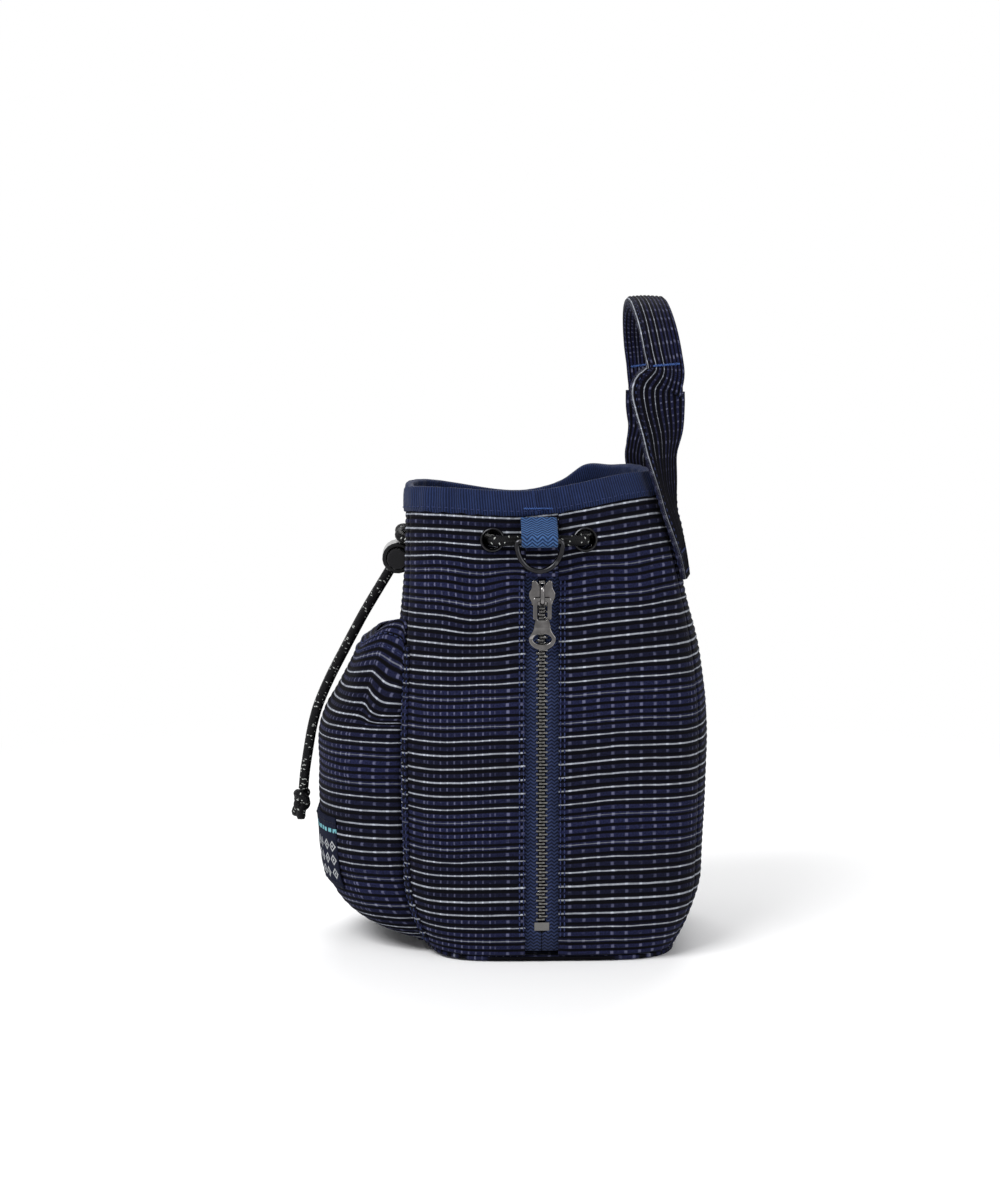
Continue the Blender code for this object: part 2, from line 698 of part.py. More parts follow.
def make_zip(tape_look, metal_look):
    place = zip_frame(zip_middle())
    low, high = ZIP_BOTTOM - zip_middle(), ZIP_TOP - zip_middle()
    teeth_top = high - STOP_HEIGHT - 0.0012
    inner = TOOTH_OVERLAP / 2
    half_teeth = TEETH_WIDTH / 2
    bead = 0.0014
    for name, side in (("front", -1), ("rear", 1)):
        foot = low + STOP_HEIGHT + (0.0 if side < 0 else TOOTH_PITCH / 2)
        tape_in = half_teeth - bead + SEAM_GAP
        make_tape(f"zip_tape_{name}", side, tape_look)
        comb = [(side * half_teeth, low + STOP_HEIGHT + SEAM_GAP)]
        comb.append((side * tape_in, low + STOP_HEIGHT + SEAM_GAP))
        count = int((teeth_top - foot - TOOTH_HEIGHT) / TOOTH_PITCH)
        for k in range(count):
            z = foot + SEAM_GAP * 2 + k * TOOTH_PITCH
            comb += [(side * tape_in, z), (-side * inner, z + TOOTH_HEIGHT * 0.15),
                     (-side * inner, z + TOOTH_HEIGHT * 0.85), (side * tape_in, z + TOOTH_HEIGHT)]
        comb += [(side * tape_in, teeth_top), (side * half_teeth, teeth_top)]
        half = TEETH_THICKNESS / 2
        prism(f"zip_teeth_{name}", comb, -half, half, metal_look, place)
        stop = box_outline(side * 0.0015, side * half_teeth, teeth_top + SEAM_GAP,
                           teeth_top + SEAM_GAP + 0.0018)
        prism(f"zip_top_stop_{name}", stop, -half, half, metal_look, place)
    stop = box_outline(-half_teeth, half_teeth, low, low + STOP_HEIGHT)
    prism("zip_bottom_stop", stop, -TEETH_THICKNESS / 2, TEETH_THICKNESS / 2, metal_look, place)
    make_slider(metal_look)


def make_tape(name, side, look):
    """One half of the zip's tape: it meets the other half below the bottom stop."""
    wide_top = TEETH_WIDTH / 2 + SEAM_GAP
    stations = [(TAPE_FOOT, SEAM_GAP / 2), (0.0070, SEAM_GAP / 2), (0.0095, SEAM_GAP / 2),
                (ZIP_BOTTOM - 2 * SEAM_GAP, SEAM_GAP / 2), (ZIP_BOTTOM - SEAM_GAP, wide_top),
                (ZIP_TOP + 0.0035, wide_top)]
    sections = []
    for level, inner in stations:
        middle = half_width(level) - CLOTH_THICKNESS - TAPE_GAP - TAPE_THICKNESS / 2
        front, back = middle + TAPE_THICKNESS / 2, middle - TAPE_THICKNESS / 2
        near, wide = ZIP_Y + side * inner, ZIP_Y + side * TAPE_WIDTH
        sections.append([Vector((front, near, level)), Vector((front, wide, level)),
                         Vector((back, wide, level)), Vector((back, near, level))])
    ring_of_sections(name, sections, look, False, None, False)


def slider_level():
    return ZIP_TOP - SLIDER_HEIGHT / 2 - 0.0008


def slider_outline(grow=0.0):
    top, waist, half = SLIDER_SHOULDER / 2 + grow, SLIDER_WAIST / 2 + grow, SLIDER_HEIGHT / 2
    right = [(waist, -half), (waist, half * 0.05), (top, half * 0.45), (top * 0.86, half)]
    return right + [(-a, b) for a, b in reversed(right)]


def make_slider(look):
    """A cast slider: two plates joined by the post at their top, with side flanges."""
    place = zip_frame(slider_level())
    room = TEETH_THICKNESS / 2 + SEAM_GAP
    slit = TAPE_THICKNESS / 2 + SEAM_GAP
    half = SLIDER_HEIGHT / 2
    body = prism("zip_slider_body", slider_outline(), room, room + SLIDER_PLATE, look, place)
    parts = [prism("slider_back", slider_outline(-0.0002), -room - SLIDER_PLATE, -room, look, place)]
    flange = SLIDER_WAIST / 2
    for side in (-1, 1):
        lip = box_outline(side * (flange - FLANGE_WALL), side * (flange - 0.0001), -half + 0.0001, 0.0)
        parts.append(prism("slider_lip", lip, slit, room + SLIDER_PLATE / 2, look, place))
        parts.append(prism("slider_lip", lip, -room - SLIDER_PLATE / 2, -slit, look, place))
    post = [(0.0008, half - 0.0022), (0.0011, half - 0.0003), (-0.0011, half - 0.0003),
            (-0.0008, half - 0.0022)]
    parts.append(prism("slider_post", post, -room - SLIDER_PLATE / 2, room + SLIDER_PLATE / 2,
                       look, place))
    foot = room + SLIDER_PLATE
    rise = foot + CROWN_ROOM
    low, high, wall = -half + 0.0004, half - 0.0010, CROWN_WALL
    crown = [(foot - 0.0005, low), (rise, low), (rise + wall, low + wall), (rise + wall, high - wall),
             (rise, high), (foot - 0.0005, high), (foot - 0.0005, high - wall),
             (rise - 0.0003, high - wall), (rise, high - wall - 0.0003),
             (rise, low + wall + 0.0003), (rise - 0.0003, low + wall), (foot - 0.0005, low + wall)]
    parts.append(prism("slider_crown", crown, -CROWN_WIDTH / 2, CROWN_WIDTH / 2, look, place, "Y"))
    for part in parts:
        cut(body, part, "UNION")
    make_pull(look, foot, low + wall)


def make_pull(look, foot, crown_low):
    """The pull hangs by its top bar inside the slider's crown; its origin is the bar's axis."""
    bar = 0.0007
    hinge = Vector((foot + CROWN_ROOM / 2, 0.0, crown_low + bar + SEAM_GAP))
    place = zip_frame(slider_level()) @ Matrix.Translation(hinge)
    tilt = place.to_euler().y
    place = place @ Matrix.Rotation(-tilt, 4, "Y")
    top, wide = PULL_TOP_WIDTH / 2, PULL_WIDTH / 2
    low = bar - PULL_LENGTH
    round_foot = [(wide * math.cos(a), low + wide + wide * math.sin(a))
                  for a in [math.radians(d) for d in range(0, -181, -20)]]
    outline = [(-top, bar), (top, bar), (top, -PULL_WINDOW - 0.0012),
               (wide * 0.99, -PULL_WINDOW - 0.0040)]
    outline += round_foot + [(-wide * 0.99, -PULL_WINDOW - 0.0040), (-top, -PULL_WINDOW - 0.0012)]
    half = PULL_THICKNESS / 2
    pull = prism("zip_pull", outline, -half, half, look, place)
    window = box_outline(-top + 0.0019, top - 0.0019, -bar - PULL_WINDOW, -bar)
    cut(pull, prism("pull_window", window, -0.003, 0.003, look, place))
    eye_half = PULL_EYE / 2
    eye_low = low + 0.0020 + eye_half * 0.7
    eye = [(eye_half * 1.25 * math.cos(a), eye_low + eye_half * 0.75 * math.sin(a))
           for a in [math.radians(d) for d in range(0, 360, 30)]]
    cut(pull, prism("pull_eye", eye, -0.003, 0.003, look, place))


# eyelets, tabs and rings

def on_cloth(phi, level):
    """A frame on the cloth: local Z out of the pouch, local Y up."""
    spot = cloth_point(phi, level)
    out = (cloth(phi, level, 0.001) - spot).normalized()
    side = Vector((0, 0, 1)).cross(out).normalized()
    up = out.cross(side)
    turn = Matrix((side, up, out)).transposed().to_4x4()
    return Matrix.Translation(spot) @ turn


def lathe(name, profile, segments, look, place):
    """Turns a closed outline of (radius, height) points about the local Z axis."""
    sections = []
    for k in range(segments):
        a = 2 * math.pi * k / segments
        sections.append([Vector((r * math.cos(a), r * math.sin(a), h)) for r, h in profile])
    return ring_of_sections(name, sections, look, True, place)


def eyelet_spots():
    """Each eyelet's angle and level, a fixed drop under the rim."""
    half = SIDE_EYELET_SPREAD / 2
    spots = {}
    for name, far in (("near", False), ("far", True)):
        level = side_level(EYELET_DROP, far)
        for end, side in (("front", -1), ("rear", 1)):
            spots[f"{name}_{end}"] = angle_at(TAB_Y + side * half, level, far), level
    level = rim_level(-math.pi / 2) - EYELET_DROP
    for end, side in (("near", 1), ("far", -1)):
        spots[f"front_{end}"] = panel_angle(side * FRONT_EYELET_SPREAD / 2, level), level
    return spots


def make_eyelets(panels, look):
    hole, flange = EYELET_HOLE / 2, EYELET_FLANGE / 2
    barrel = hole + EYELET_WALL
    gap = EYELET_SEAT + RIB_HEIGHT
    back = -CLOTH_THICKNESS - 3 * EYELET_SEAT
    top = gap + EYELET_RIM
    foot = back - WASHER_THICKNESS - 0.0003
    ring = [(hole, foot), (barrel, foot), (barrel, gap), (flange, gap), (flange, gap + 0.0004),
            (flange - 0.0008, top), (hole + 0.0004, top), (hole, top - 0.0004)]
    washer = [(barrel + SEAM_GAP / 2, back), (barrel + SEAM_GAP / 2, back - WASHER_THICKNESS),
              (flange, back - WASHER_THICKNESS), (flange, back)]
    carriers = {"near_front": "side_panel_front_strip", "near_rear": "side_panel_rear_strip",
                "far_front": "side_panel_far", "far_rear": "side_panel_far",
                "front_near": "front_panel", "front_far": "front_panel"}
    for name, (phi, level) in eyelet_spots().items():
        place = on_cloth(phi, level)
        lathe(f"eyelet_{name}", ring, EYELET_SIDES, look, place)
        lathe(f"eyelet_washer_{name}", washer, EYELET_SIDES, look, place)
        reach = barrel + SEAM_GAP
        round_hole = [(reach * math.cos(a), reach * math.sin(a))
                      for a in [2 * math.pi * k / EYELET_SIDES for k in range(EYELET_SIDES)]]
        cutter = prism(f"hole_{name}", round_hole, -0.006, 0.006, look, place, "Z")
        cut(panels[carriers[name]], cutter)


def side_level(drop, far):
    """A level a given drop under the rim, at the middle of the near or far side."""
    return rim_level(math.pi if far else 0.0) - drop


def tab_frame(far):
    level = side_level(RING_BAR_DROP, far)
    spot = cloth_point(angle_at(TAB_Y, level, far), level)
    turn = Matrix.Rotation(math.pi if far else 0.0, 4, "Z")
    return Matrix.Translation((spot.x, TAB_Y, level)) @ turn


def make_tab(name, far, look):
    """Webbing folded round the ring's bar: a strip from the binding, down and back up."""
    place = tab_frame(far)
    wire = RING_WIRE / 2
    thick = WEBBING_THICKNESS
    top = RING_BAR_DROP - TAB_DROP
    bend = wire + SEAM_GAP + thick / 2
    level = side_level(TAB_DROP, far)
    start = cloth_point(angle_at(TAB_Y, level, far), level)
    skin_x = abs(start.x) - abs(place.translation.x)
    back_x = skin_x + SEAM_GAP + RIB_HEIGHT + thick / 2
    out = RING_STANDOFF
    route = [(back_x, top), (back_x + 0.0006, top * 0.8), (out - bend - 0.0004, top * 0.38),
             (out - bend, 0.0)]
    route += [(out - bend * math.cos(a), -bend * math.sin(a))
              for a in [math.radians(d) for d in range(30, 181, 30)]]
    front_top = back_x + thick + SEAM_GAP
    route += [(out + bend - 0.0002, top * 0.25), (front_top + 0.0022, top * 0.75),
              (front_top, top)]
    sections = []
    for k, (x, z) in enumerate(route):
        ahead, behind = route[min(k + 1, len(route) - 1)], route[max(k - 1, 0)]
        along = Vector((ahead[0] - behind[0], 0.0, ahead[1] - behind[1])).normalized()
        normal = Vector((along.z, 0.0, -along.x)) * thick / 2
        middle = Vector((x, 0.0, z))
        side = Vector((0.0, TAB_WIDTH / 2, 0.0))
        sections.append([middle - side - normal, middle + side - normal,
                         middle + side + normal, middle - side + normal])
    ring_of_sections(name, sections, look, False, place)


def ring_path():
    """The D-ring's wire line in its own plane: the bar along Y, the bow hanging below it."""
    half = (RING_WIDTH - RING_WIRE) / 2
    corner = RING_CORNER
    drop = RING_DROP - RING_WIRE / 2
    path = [(-half * 0.5, 0.0), (half * 0.5, 0.0), (half - corner, 0.0),
            (half - corner * 0.3, -corner * 0.3), (half, -corner)]
    bow = drop - corner
    path += [(half * math.cos(a), -corner - bow * math.sin(a))
             for a in [math.radians(d) for d in range(15, 180, 15)]]
    path += [(-half, -corner), (-half + corner * 0.3, -corner * 0.3), (-half + corner, 0.0)]
    return [Vector((0.0, y, z)) for y, z in path]


def make_ring(name, far, look):
    place = tab_frame(far) @ Matrix.Translation((RING_STANDOFF, 0.0, 0.0))
    path = ring_path()
    sections = []
    for k, point in enumerate(path):
        along = (path[(k + 1) % len(path)] - path[k - 1]).normalized()
        across = Vector((1.0, 0.0, 0.0)).cross(along)
        sections.append([point + (Vector((1.0, 0.0, 0.0)) * math.cos(a) + across * math.sin(a))
                         * RING_WIRE / 2 for a in [math.radians(d) for d in range(0, 360, 45)]])
    ring_of_sections(name, sections, look, True, place)


# the handle

def handle_leg(side):
    """Stations up one leg: middle, width direction, width and thickness."""
    leg = []
    x = HANDLE_SPAN / 2
    stand = STRAP_THICKNESS / 2 + STRAP_SEAT
    under_binding = BODY_HEIGHT - BINDING_HEIGHT - STRAP_THICKNESS
    for share in (0.0, 0.35, 0.7, 1.0):
        level = blend(HANDLE_FOOT, under_binding, share)
        phi = back_angle(side * x, level)
        out = stand + blend(0.0, BINDING_WALL, share)
        leg.append((cloth(phi, level, out), along_cloth(phi, level), STRAP_WIDTH * 0.9,
                    STRAP_THICKNESS))
    phi = back_angle(side * x, BODY_HEIGHT)
    rim = cloth(phi, rim_level(phi), stand + BINDING_WALL + SEAM_GAP)
    leg.append((rim, along_cloth(phi, BODY_HEIGHT), STRAP_WIDTH * 0.95, STRAP_THICKNESS))
    for share, near_shift, far_shift, twist, fold, thick in HANDLE_STATIONS:
        level = blend(rim.z, HANDLE_TOP - GRIP_THICKNESS / 2, share)
        turn = math.radians(twist)
        shift = near_shift if side > 0 else far_shift
        leg.append((Vector((side * x, rim.y + shift, level)),
                    Vector((-math.cos(turn), side * math.sin(turn), 0.0)),
                    blend(STRAP_WIDTH, GRIP_WIDTH, fold),
                    blend(STRAP_THICKNESS, GRIP_THICKNESS, thick)))
    return leg


def along_cloth(phi, level):
    """The level direction along the cloth, towards growing angles."""
    step = math.radians(5)
    along = cloth_point(phi + step, level) - cloth_point(phi - step, level)
    return Vector((along.x, along.y, 0.0)).normalized()


def handle_line():
    near, far = handle_leg(1), handle_leg(-1)
    start, end = near[-1][0], far[-1][0]
    peak = HANDLE_TOP - GRIP_THICKNESS / 2
    arch = []
    for degree in range(18, 180, 18):
        a = math.radians(degree)
        x = HANDLE_SPAN / 2 * math.cos(a)
        level = start.z + (peak - start.z) * math.sin(a)
        y = blend(start.y, end.y, (1 - math.cos(a)) / 2) - HANDLE_LEAN * math.sin(a)
        arch.append((Vector((x, y, level)), Vector((0.0, 1.0, 0.0)), GRIP_WIDTH,
                     GRIP_THICKNESS))
    back = [(spot, -across, width, thick) for spot, across, width, thick in reversed(far)]
    return near + arch + back


def back_angle(x, level):
    """The angle at which the back stands at an X position."""
    low, high = math.radians(30), math.radians(150)
    for _ in range(18):
        middle = (low + high) / 2
        if cloth_point(middle, level).x > x:
            low = middle
        else:
            high = middle
    return (low + high) / 2


def make_handle(look):
    line = handle_line()
    sections = []
    for k, (spot, across, width, thick) in enumerate(line):
        ahead, behind = line[min(k + 1, len(line) - 1)][0], line[max(k - 1, 0)][0]
        along = (ahead - behind).normalized()
        across = (across - along * across.dot(along)).normalized()
        normal = along.cross(across)
        half, rise = width / 2, thick / 2
        shape = [(-half, -rise * 0.4), (-half * 0.86, -rise), (-half * 0.45, -rise * 0.9),
                 (0.0, -rise), (half * 0.45, -rise * 0.9), (half * 0.86, -rise),
                 (half, -rise * 0.4), (half, rise * 0.4), (half * 0.86, rise),
                 (half * 0.45, rise * 0.9), (0.0, rise), (-half * 0.45, rise * 0.9),
                 (-half * 0.86, rise), (-half, rise * 0.4)]
        sections.append([spot + across * a + normal * b for a, b in shape])
    ring_of_sections("handle_strap", sections, look, False)


# the drawstring and its lock

def cord(name, route, look):
    curve = bpy.data.curves.new(name, "CURVE")
    curve.dimensions = "3D"
    curve.bevel_depth = CORD_DIAMETER / 2
    curve.bevel_resolution = 2
    curve.use_fill_caps = True
    line = smooth_curve(route, CORD_STEP)
    spline = curve.splines.new("POLY")
    spline.points.add(len(line) - 1)
    for point, spot in zip(spline.points, line):
        point.co = (*spot, 1.0)
    curve.materials.append(look)
    made = bpy.data.objects.new(name, curve)
    bpy.context.collection.objects.link(made)


def before_front(across, stand, level):
    """A point that stands off from the body's front by `stand`."""
    return Vector((across, front_y(across, level) - stand, level))


def make_knot(look):
    """The overhand knot that ties the two tails, as one lump with waists between its turns."""
    rings, spokes = 8, 14
    sections = []
    wide, deep, tall = (s / 2 for s in KNOT_SIZE)
    centre = before_front(0.0, KNOT_STANDOFF, KNOT_LEVEL)
    points = [centre + Vector((0, 0, tall)), centre - Vector((0, 0, tall))]
    for j in range(1, rings):
        a = math.pi * j / rings
        ring = []
        for i in range(spokes):
            b = 2 * math.pi * i / spokes
            waist = 1 + 0.10 * math.cos(2 * b + 2.2 * math.cos(a))
            ring.append(centre + Vector((wide * waist * math.sin(a) * math.cos(b),
                                         deep * waist * math.sin(a) * math.sin(b),
                                         tall * math.cos(a))))
        sections.append(ring)
    points += [p for ring in sections for p in ring]
    faces = []
    for i in range(spokes):
        after = (i + 1) % spokes
        faces.append((0, 2 + i, 2 + after))
        last = 2 + (rings - 2) * spokes
        faces.append((1, last + after, last + i))
        for j in range(rings - 2):
            a = 2 + j * spokes
            faces.append((a + i, a + after, a + spokes + after, a + spokes + i))
    add("drawstring_knot", points, faces, look)


def lock_frame():
    """The lock's frame: local X along the plunger, local Z up the cords."""
    centre = before_front(0.0, LOCK_STANDOFF, LOCK_LEVEL)
    return Matrix.Translation(centre) @ Matrix.Rotation(-LOCK_TILT, 4, "X")


def barrel(name, radius, low, high, look, place, ribs=0.0):
    profile = [(low, radius * 0.92), (low + radius * 0.08, radius), (high - radius * 0.08, radius),
               (high, radius * 0.92)]
    spokes = 20
    sections = []
    for h, r in profile:
        sections.append([Vector((h, r * (1 - (ribs if k % 2 else 0)) * math.cos(t),
                                 r * (1 - (ribs if k % 2 else 0)) * math.sin(t)))
                         for k, t in enumerate([2 * math.pi * k / spokes for k in range(spokes)])])
    return ring_of_sections(name, sections, look, False, place)


def slot_prism(name, low, high, look, place):
    """A round-ended slot through the lock along the cords."""
    half = CORD_DIAMETER / 2 + CORD_CLEARANCE
    turn = [math.radians(d) for d in range(-90, 91, 30)]
    right = [(high - half + half * math.cos(t), half * math.sin(t)) for t in turn]
    left = [(low + half - half * math.cos(t), half * math.sin(t)) for t in turn]
    return prism(name, right + left[::-1], -LOCK_DIAMETER, LOCK_DIAMETER, look, place, "Z")


def make_lock(shell_look, button_look, spring_look):
    place = lock_frame()
    pair = (CORD_SPACING + CORD_DIAMETER) / 2 + CORD_CLEARANCE
    low, high = -LOCK_LENGTH / 2, LOCK_LENGTH / 2 - 0.0010
    shell = barrel("cord_lock_shell", LOCK_DIAMETER / 2, low, high, shell_look, place)
    bore = PLUNGER_DIAMETER / 2
    cut(shell, barrel("lock_bore", bore + 0.0003, low + LOCK_WALL, high + 0.004, shell_look, place))
    cut(shell, slot_prism("lock_slot", -pair, pair, shell_look, place))
    inner_end = -pair - LOCK_TRAVEL * 0.5 - 0.0006
    button = high + LOCK_TRAVEL + 0.0006
    stem = barrel("cord_lock_plunger", bore - 0.0002, inner_end, button, button_look, place)
    cut(stem, slot_prism("plunger_slot", -pair - 0.00005, pair + LOCK_TRAVEL, button_look, place))
    cap = barrel("plunger_cap", bore * 0.98, button - 0.0003, button + BUTTON_LENGTH, button_look,
                 place, ribs=0.08)
    cut(stem, cap, "UNION")
    make_spring(low + LOCK_WALL + SEAM_GAP, inner_end - SEAM_GAP, spring_look, place)


def make_spring(low, high, look, place):
    radius = PLUNGER_DIAMETER / 2 - 0.0012
    steps = round(10 * SPRING_TURNS)
    wire = SPRING_WIRE / 2
    sections = []
    for k in range(steps + 1):
        a = 2 * math.pi * SPRING_TURNS * k / steps
        x = blend(low + wire, high - wire, k / steps)
        middle = Vector((x, radius * math.cos(a), radius * math.sin(a)))
        rise = (high - low - 2 * wire) / (2 * math.pi * SPRING_TURNS)
        along = Vector((rise, -radius * math.sin(a), radius * math.cos(a))).normalized()
        out = Vector((0.0, math.cos(a), math.sin(a)))
        up = along.cross(out)
        sections.append([middle + (out * math.cos(t) + up * math.sin(t)) * wire
                         for t in [math.radians(d) for d in range(0, 360, 60)]])
    ring_of_sections("cord_lock_spring", sections, look, False, place)


def main():
    clear_scene()
    cloth_look = material("ribbed_cloth", (0.022, 0.024, 0.075), 0.9)
    binding_look = material("binding", (0.020, 0.036, 0.120), 0.85)
    webbing_look = material("webbing", (0.026, 0.075, 0.200), 0.8)
    tape_look = material("zip_tape", (0.014, 0.020, 0.055), 0.85)
    metal_look = material("gunmetal", (0.20, 0.20, 0.21), 0.3, 1.0)
    dark_look = material("black_metal", (0.03, 0.03, 0.035), 0.3, 1.0)
    plastic_look = material("black_plastic", (0.012, 0.012, 0.014), 0.2)
    cord_look = material("cord", (0.012, 0.012, 0.014), 0.8)
    label_look = material("label", (0.010, 0.011, 0.020), 0.7)
    panels = make_body(cloth_look)
    make_base(cloth_look)
    make_binding(binding_look)
    make_pocket(cloth_look)
    make_label(label_look)
    make_zip(tape_look, metal_look)
    make_eyelets(panels, dark_look)
    for side, far in (("near", False), ("far", True)):
        make_tab(f"webbing_tab_{side}", far, webbing_look)
        make_ring(f"d_ring_{side}", far, dark_look)
    make_handle(cloth_look)
    cord("drawstring_rim_run", RIM_ROUTE, cord_look)
    tail = [before_front(*spot) for spot in TAIL_ROUTE]
    cord("drawstring_tail_near", tail, cord_look)
    cord("drawstring_tail_far", [(-x, y, z) for x, y, z in tail], cord_look)
    make_knot(cord_look)
    make_lock(plastic_look, plastic_look, metal_look)


main()
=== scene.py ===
import math
import time

import bmesh
import bpy
import numpy as np
from mathutils import Matrix, Vector


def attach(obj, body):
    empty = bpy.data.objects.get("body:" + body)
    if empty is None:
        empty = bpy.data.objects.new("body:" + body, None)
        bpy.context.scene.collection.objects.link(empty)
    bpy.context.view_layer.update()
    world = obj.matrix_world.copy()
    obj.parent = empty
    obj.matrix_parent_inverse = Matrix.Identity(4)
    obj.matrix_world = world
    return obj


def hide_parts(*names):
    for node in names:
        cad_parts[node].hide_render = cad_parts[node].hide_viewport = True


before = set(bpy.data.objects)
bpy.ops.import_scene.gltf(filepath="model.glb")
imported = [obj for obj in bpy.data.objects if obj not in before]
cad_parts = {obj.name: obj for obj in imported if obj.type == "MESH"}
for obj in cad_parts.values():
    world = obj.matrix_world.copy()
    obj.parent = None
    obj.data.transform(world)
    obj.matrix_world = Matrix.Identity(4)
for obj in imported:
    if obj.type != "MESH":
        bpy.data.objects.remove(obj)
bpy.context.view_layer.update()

began = time.time()


def say(words):
    print("%5.1f s  %s" % (time.time() - began, words))


# camera, floor and light

studio = {
    "focal": 81.1, "distance": 1.107, "azimuth": 88.0, "elevation": 6.35,
    "target": (0.0, -0.0188, 0.1364),
    "litPoint": (0, -0.01, 0.10), "worldStrength": 0.40,
    # each light: its place, its size and its power
    "lights": {
        "keyLight": ((0.75, -0.75, 1.15), (0.9, 0.7), 20.0),
        "fillLight": ((1.1, 0.85, 0.55), (0.9, 0.9), 7.0),
        "backLight": ((-0.9, 0.1, 0.9), (0.9, 0.6), 9.0),
    },
    "floorColour": (0.93, 0.93, 0.935), "floorRoughness": 0.75, "fadeFrom": 0.16, "fadeTo": 0.55,
}


def linked(name, data):
    made = bpy.data.objects.new(name, data)
    bpy.context.collection.objects.link(made)
    return made


def lookAt(thing, spot, target):
    thing.location = spot
    thing.rotation_euler = (Vector(target) - Vector(spot)).to_track_quat("-Z", "Y").to_euler()


def areaLight(name, spot, size, power):
    lamp = bpy.data.lights.new(name, "AREA")
    lamp.shape = "RECTANGLE"
    lamp.size, lamp.size_y = size
    lamp.energy = power
    lookAt(linked(name, lamp), spot, studio["litPoint"])


def seenDirectly(tree):
    # 1 for what the camera sees, straight or mirrored in metal, and 0 for the light on the object
    ray = tree.nodes.new("ShaderNodeLightPath")
    seen = ray.outputs["Is Camera Ray"]
    for name in ("Is Glossy Ray", "Is Transmission Ray"):
        either = tree.nodes.new("ShaderNodeMath")
        either.operation = "MAXIMUM"
        tree.links.new(seen, either.inputs[0])
        tree.links.new(ray.outputs[name], either.inputs[1])
        seen = either.outputs[0]
    return seen


def makeStudio():
    data = bpy.data.cameras.new("camera")
    data.lens, data.sensor_width, data.clip_start = studio["focal"], 36.0, 0.01
    camera = linked("camera", data)
    turn, rise = math.radians(studio["azimuth"]), math.radians(studio["elevation"])
    out = Vector((math.sin(turn) * math.cos(rise), -math.cos(turn) * math.cos(rise), math.sin(rise)))
    lookAt(camera, Vector(studio["target"]) + out * studio["distance"], studio["target"])
    bpy.context.scene.camera = camera

    for name, (spot, size, power) in studio["lights"].items():
        areaLight(name, spot, size, power)

    world = bpy.data.worlds.new("paleWorld")
    bpy.context.scene.world = world
    world.use_nodes = True
    tree = world.node_tree
    tree.nodes["Background"].inputs["Color"].default_value = (1, 1, 1, 1)
    seen = seenDirectly(tree)
    level = tree.nodes.new("ShaderNodeMapRange")
    level.inputs["To Min"].default_value = studio["worldStrength"]
    level.inputs["To Max"].default_value = 1.0
    tree.links.new(seen, level.inputs["Value"])
    tree.links.new(level.outputs["Result"], tree.nodes["Background"].inputs["Strength"])

    bpy.ops.mesh.primitive_circle_add(vertices=96, radius=3.0, fill_type="NGON", location=(0, 0, -0.0004))
    floor = bpy.context.object
    floor.name = "studioFloor"
    look = bpy.data.materials.new("paleFloor")
    look.use_nodes = True
    tree = look.node_tree
    shader = tree.nodes["Principled BSDF"]
    shader.inputs["Base Color"].default_value = (*studio["floorColour"], 1)
    shader.inputs["Roughness"].default_value = studio["floorRoughness"]
    # far from the pouch the floor fades into the white backdrop and keeps only its shadow near by
    place = tree.nodes.new("ShaderNodeTexCoord")
    far = tree.nodes.new("ShaderNodeVectorMath")
    far.operation = "LENGTH"
    tree.links.new(place.outputs["Object"], far.inputs[0])
    fade = tree.nodes.new("ShaderNodeMapRange")
    fade.inputs["From Min"].default_value = studio["fadeFrom"]
    fade.inputs["From Max"].default_value = studio["fadeTo"]
    fade.interpolation_type = "SMOOTHSTEP"
    tree.links.new(far.outputs["Value"], fade.inputs["Value"])
    white = tree.nodes.new("ShaderNodeEmission")
    white.inputs["Strength"].default_value = 1.0
    share = tree.nodes.new("ShaderNodeMath")
    share.operation = "MULTIPLY"
    tree.links.new(fade.outputs["Result"], share.inputs[0])
    tree.links.new(seenDirectly(tree), share.inputs[1])
    blend = tree.nodes.new("ShaderNodeMixShader")
    tree.links.new(share.outputs[0], blend.inputs["Fac"])
    tree.links.new(shader.outputs[0], blend.inputs[1])
    tree.links.new(white.outputs[0], blend.inputs[2])
    tree.links.new(blend.outputs[0], tree.nodes["Material Output"].inputs["Surface"])
    floor.data.materials.append(look)
    bpy.context.scene.view_settings.view_transform = "Standard"


makeStudio()
say("studio")


# node helpers

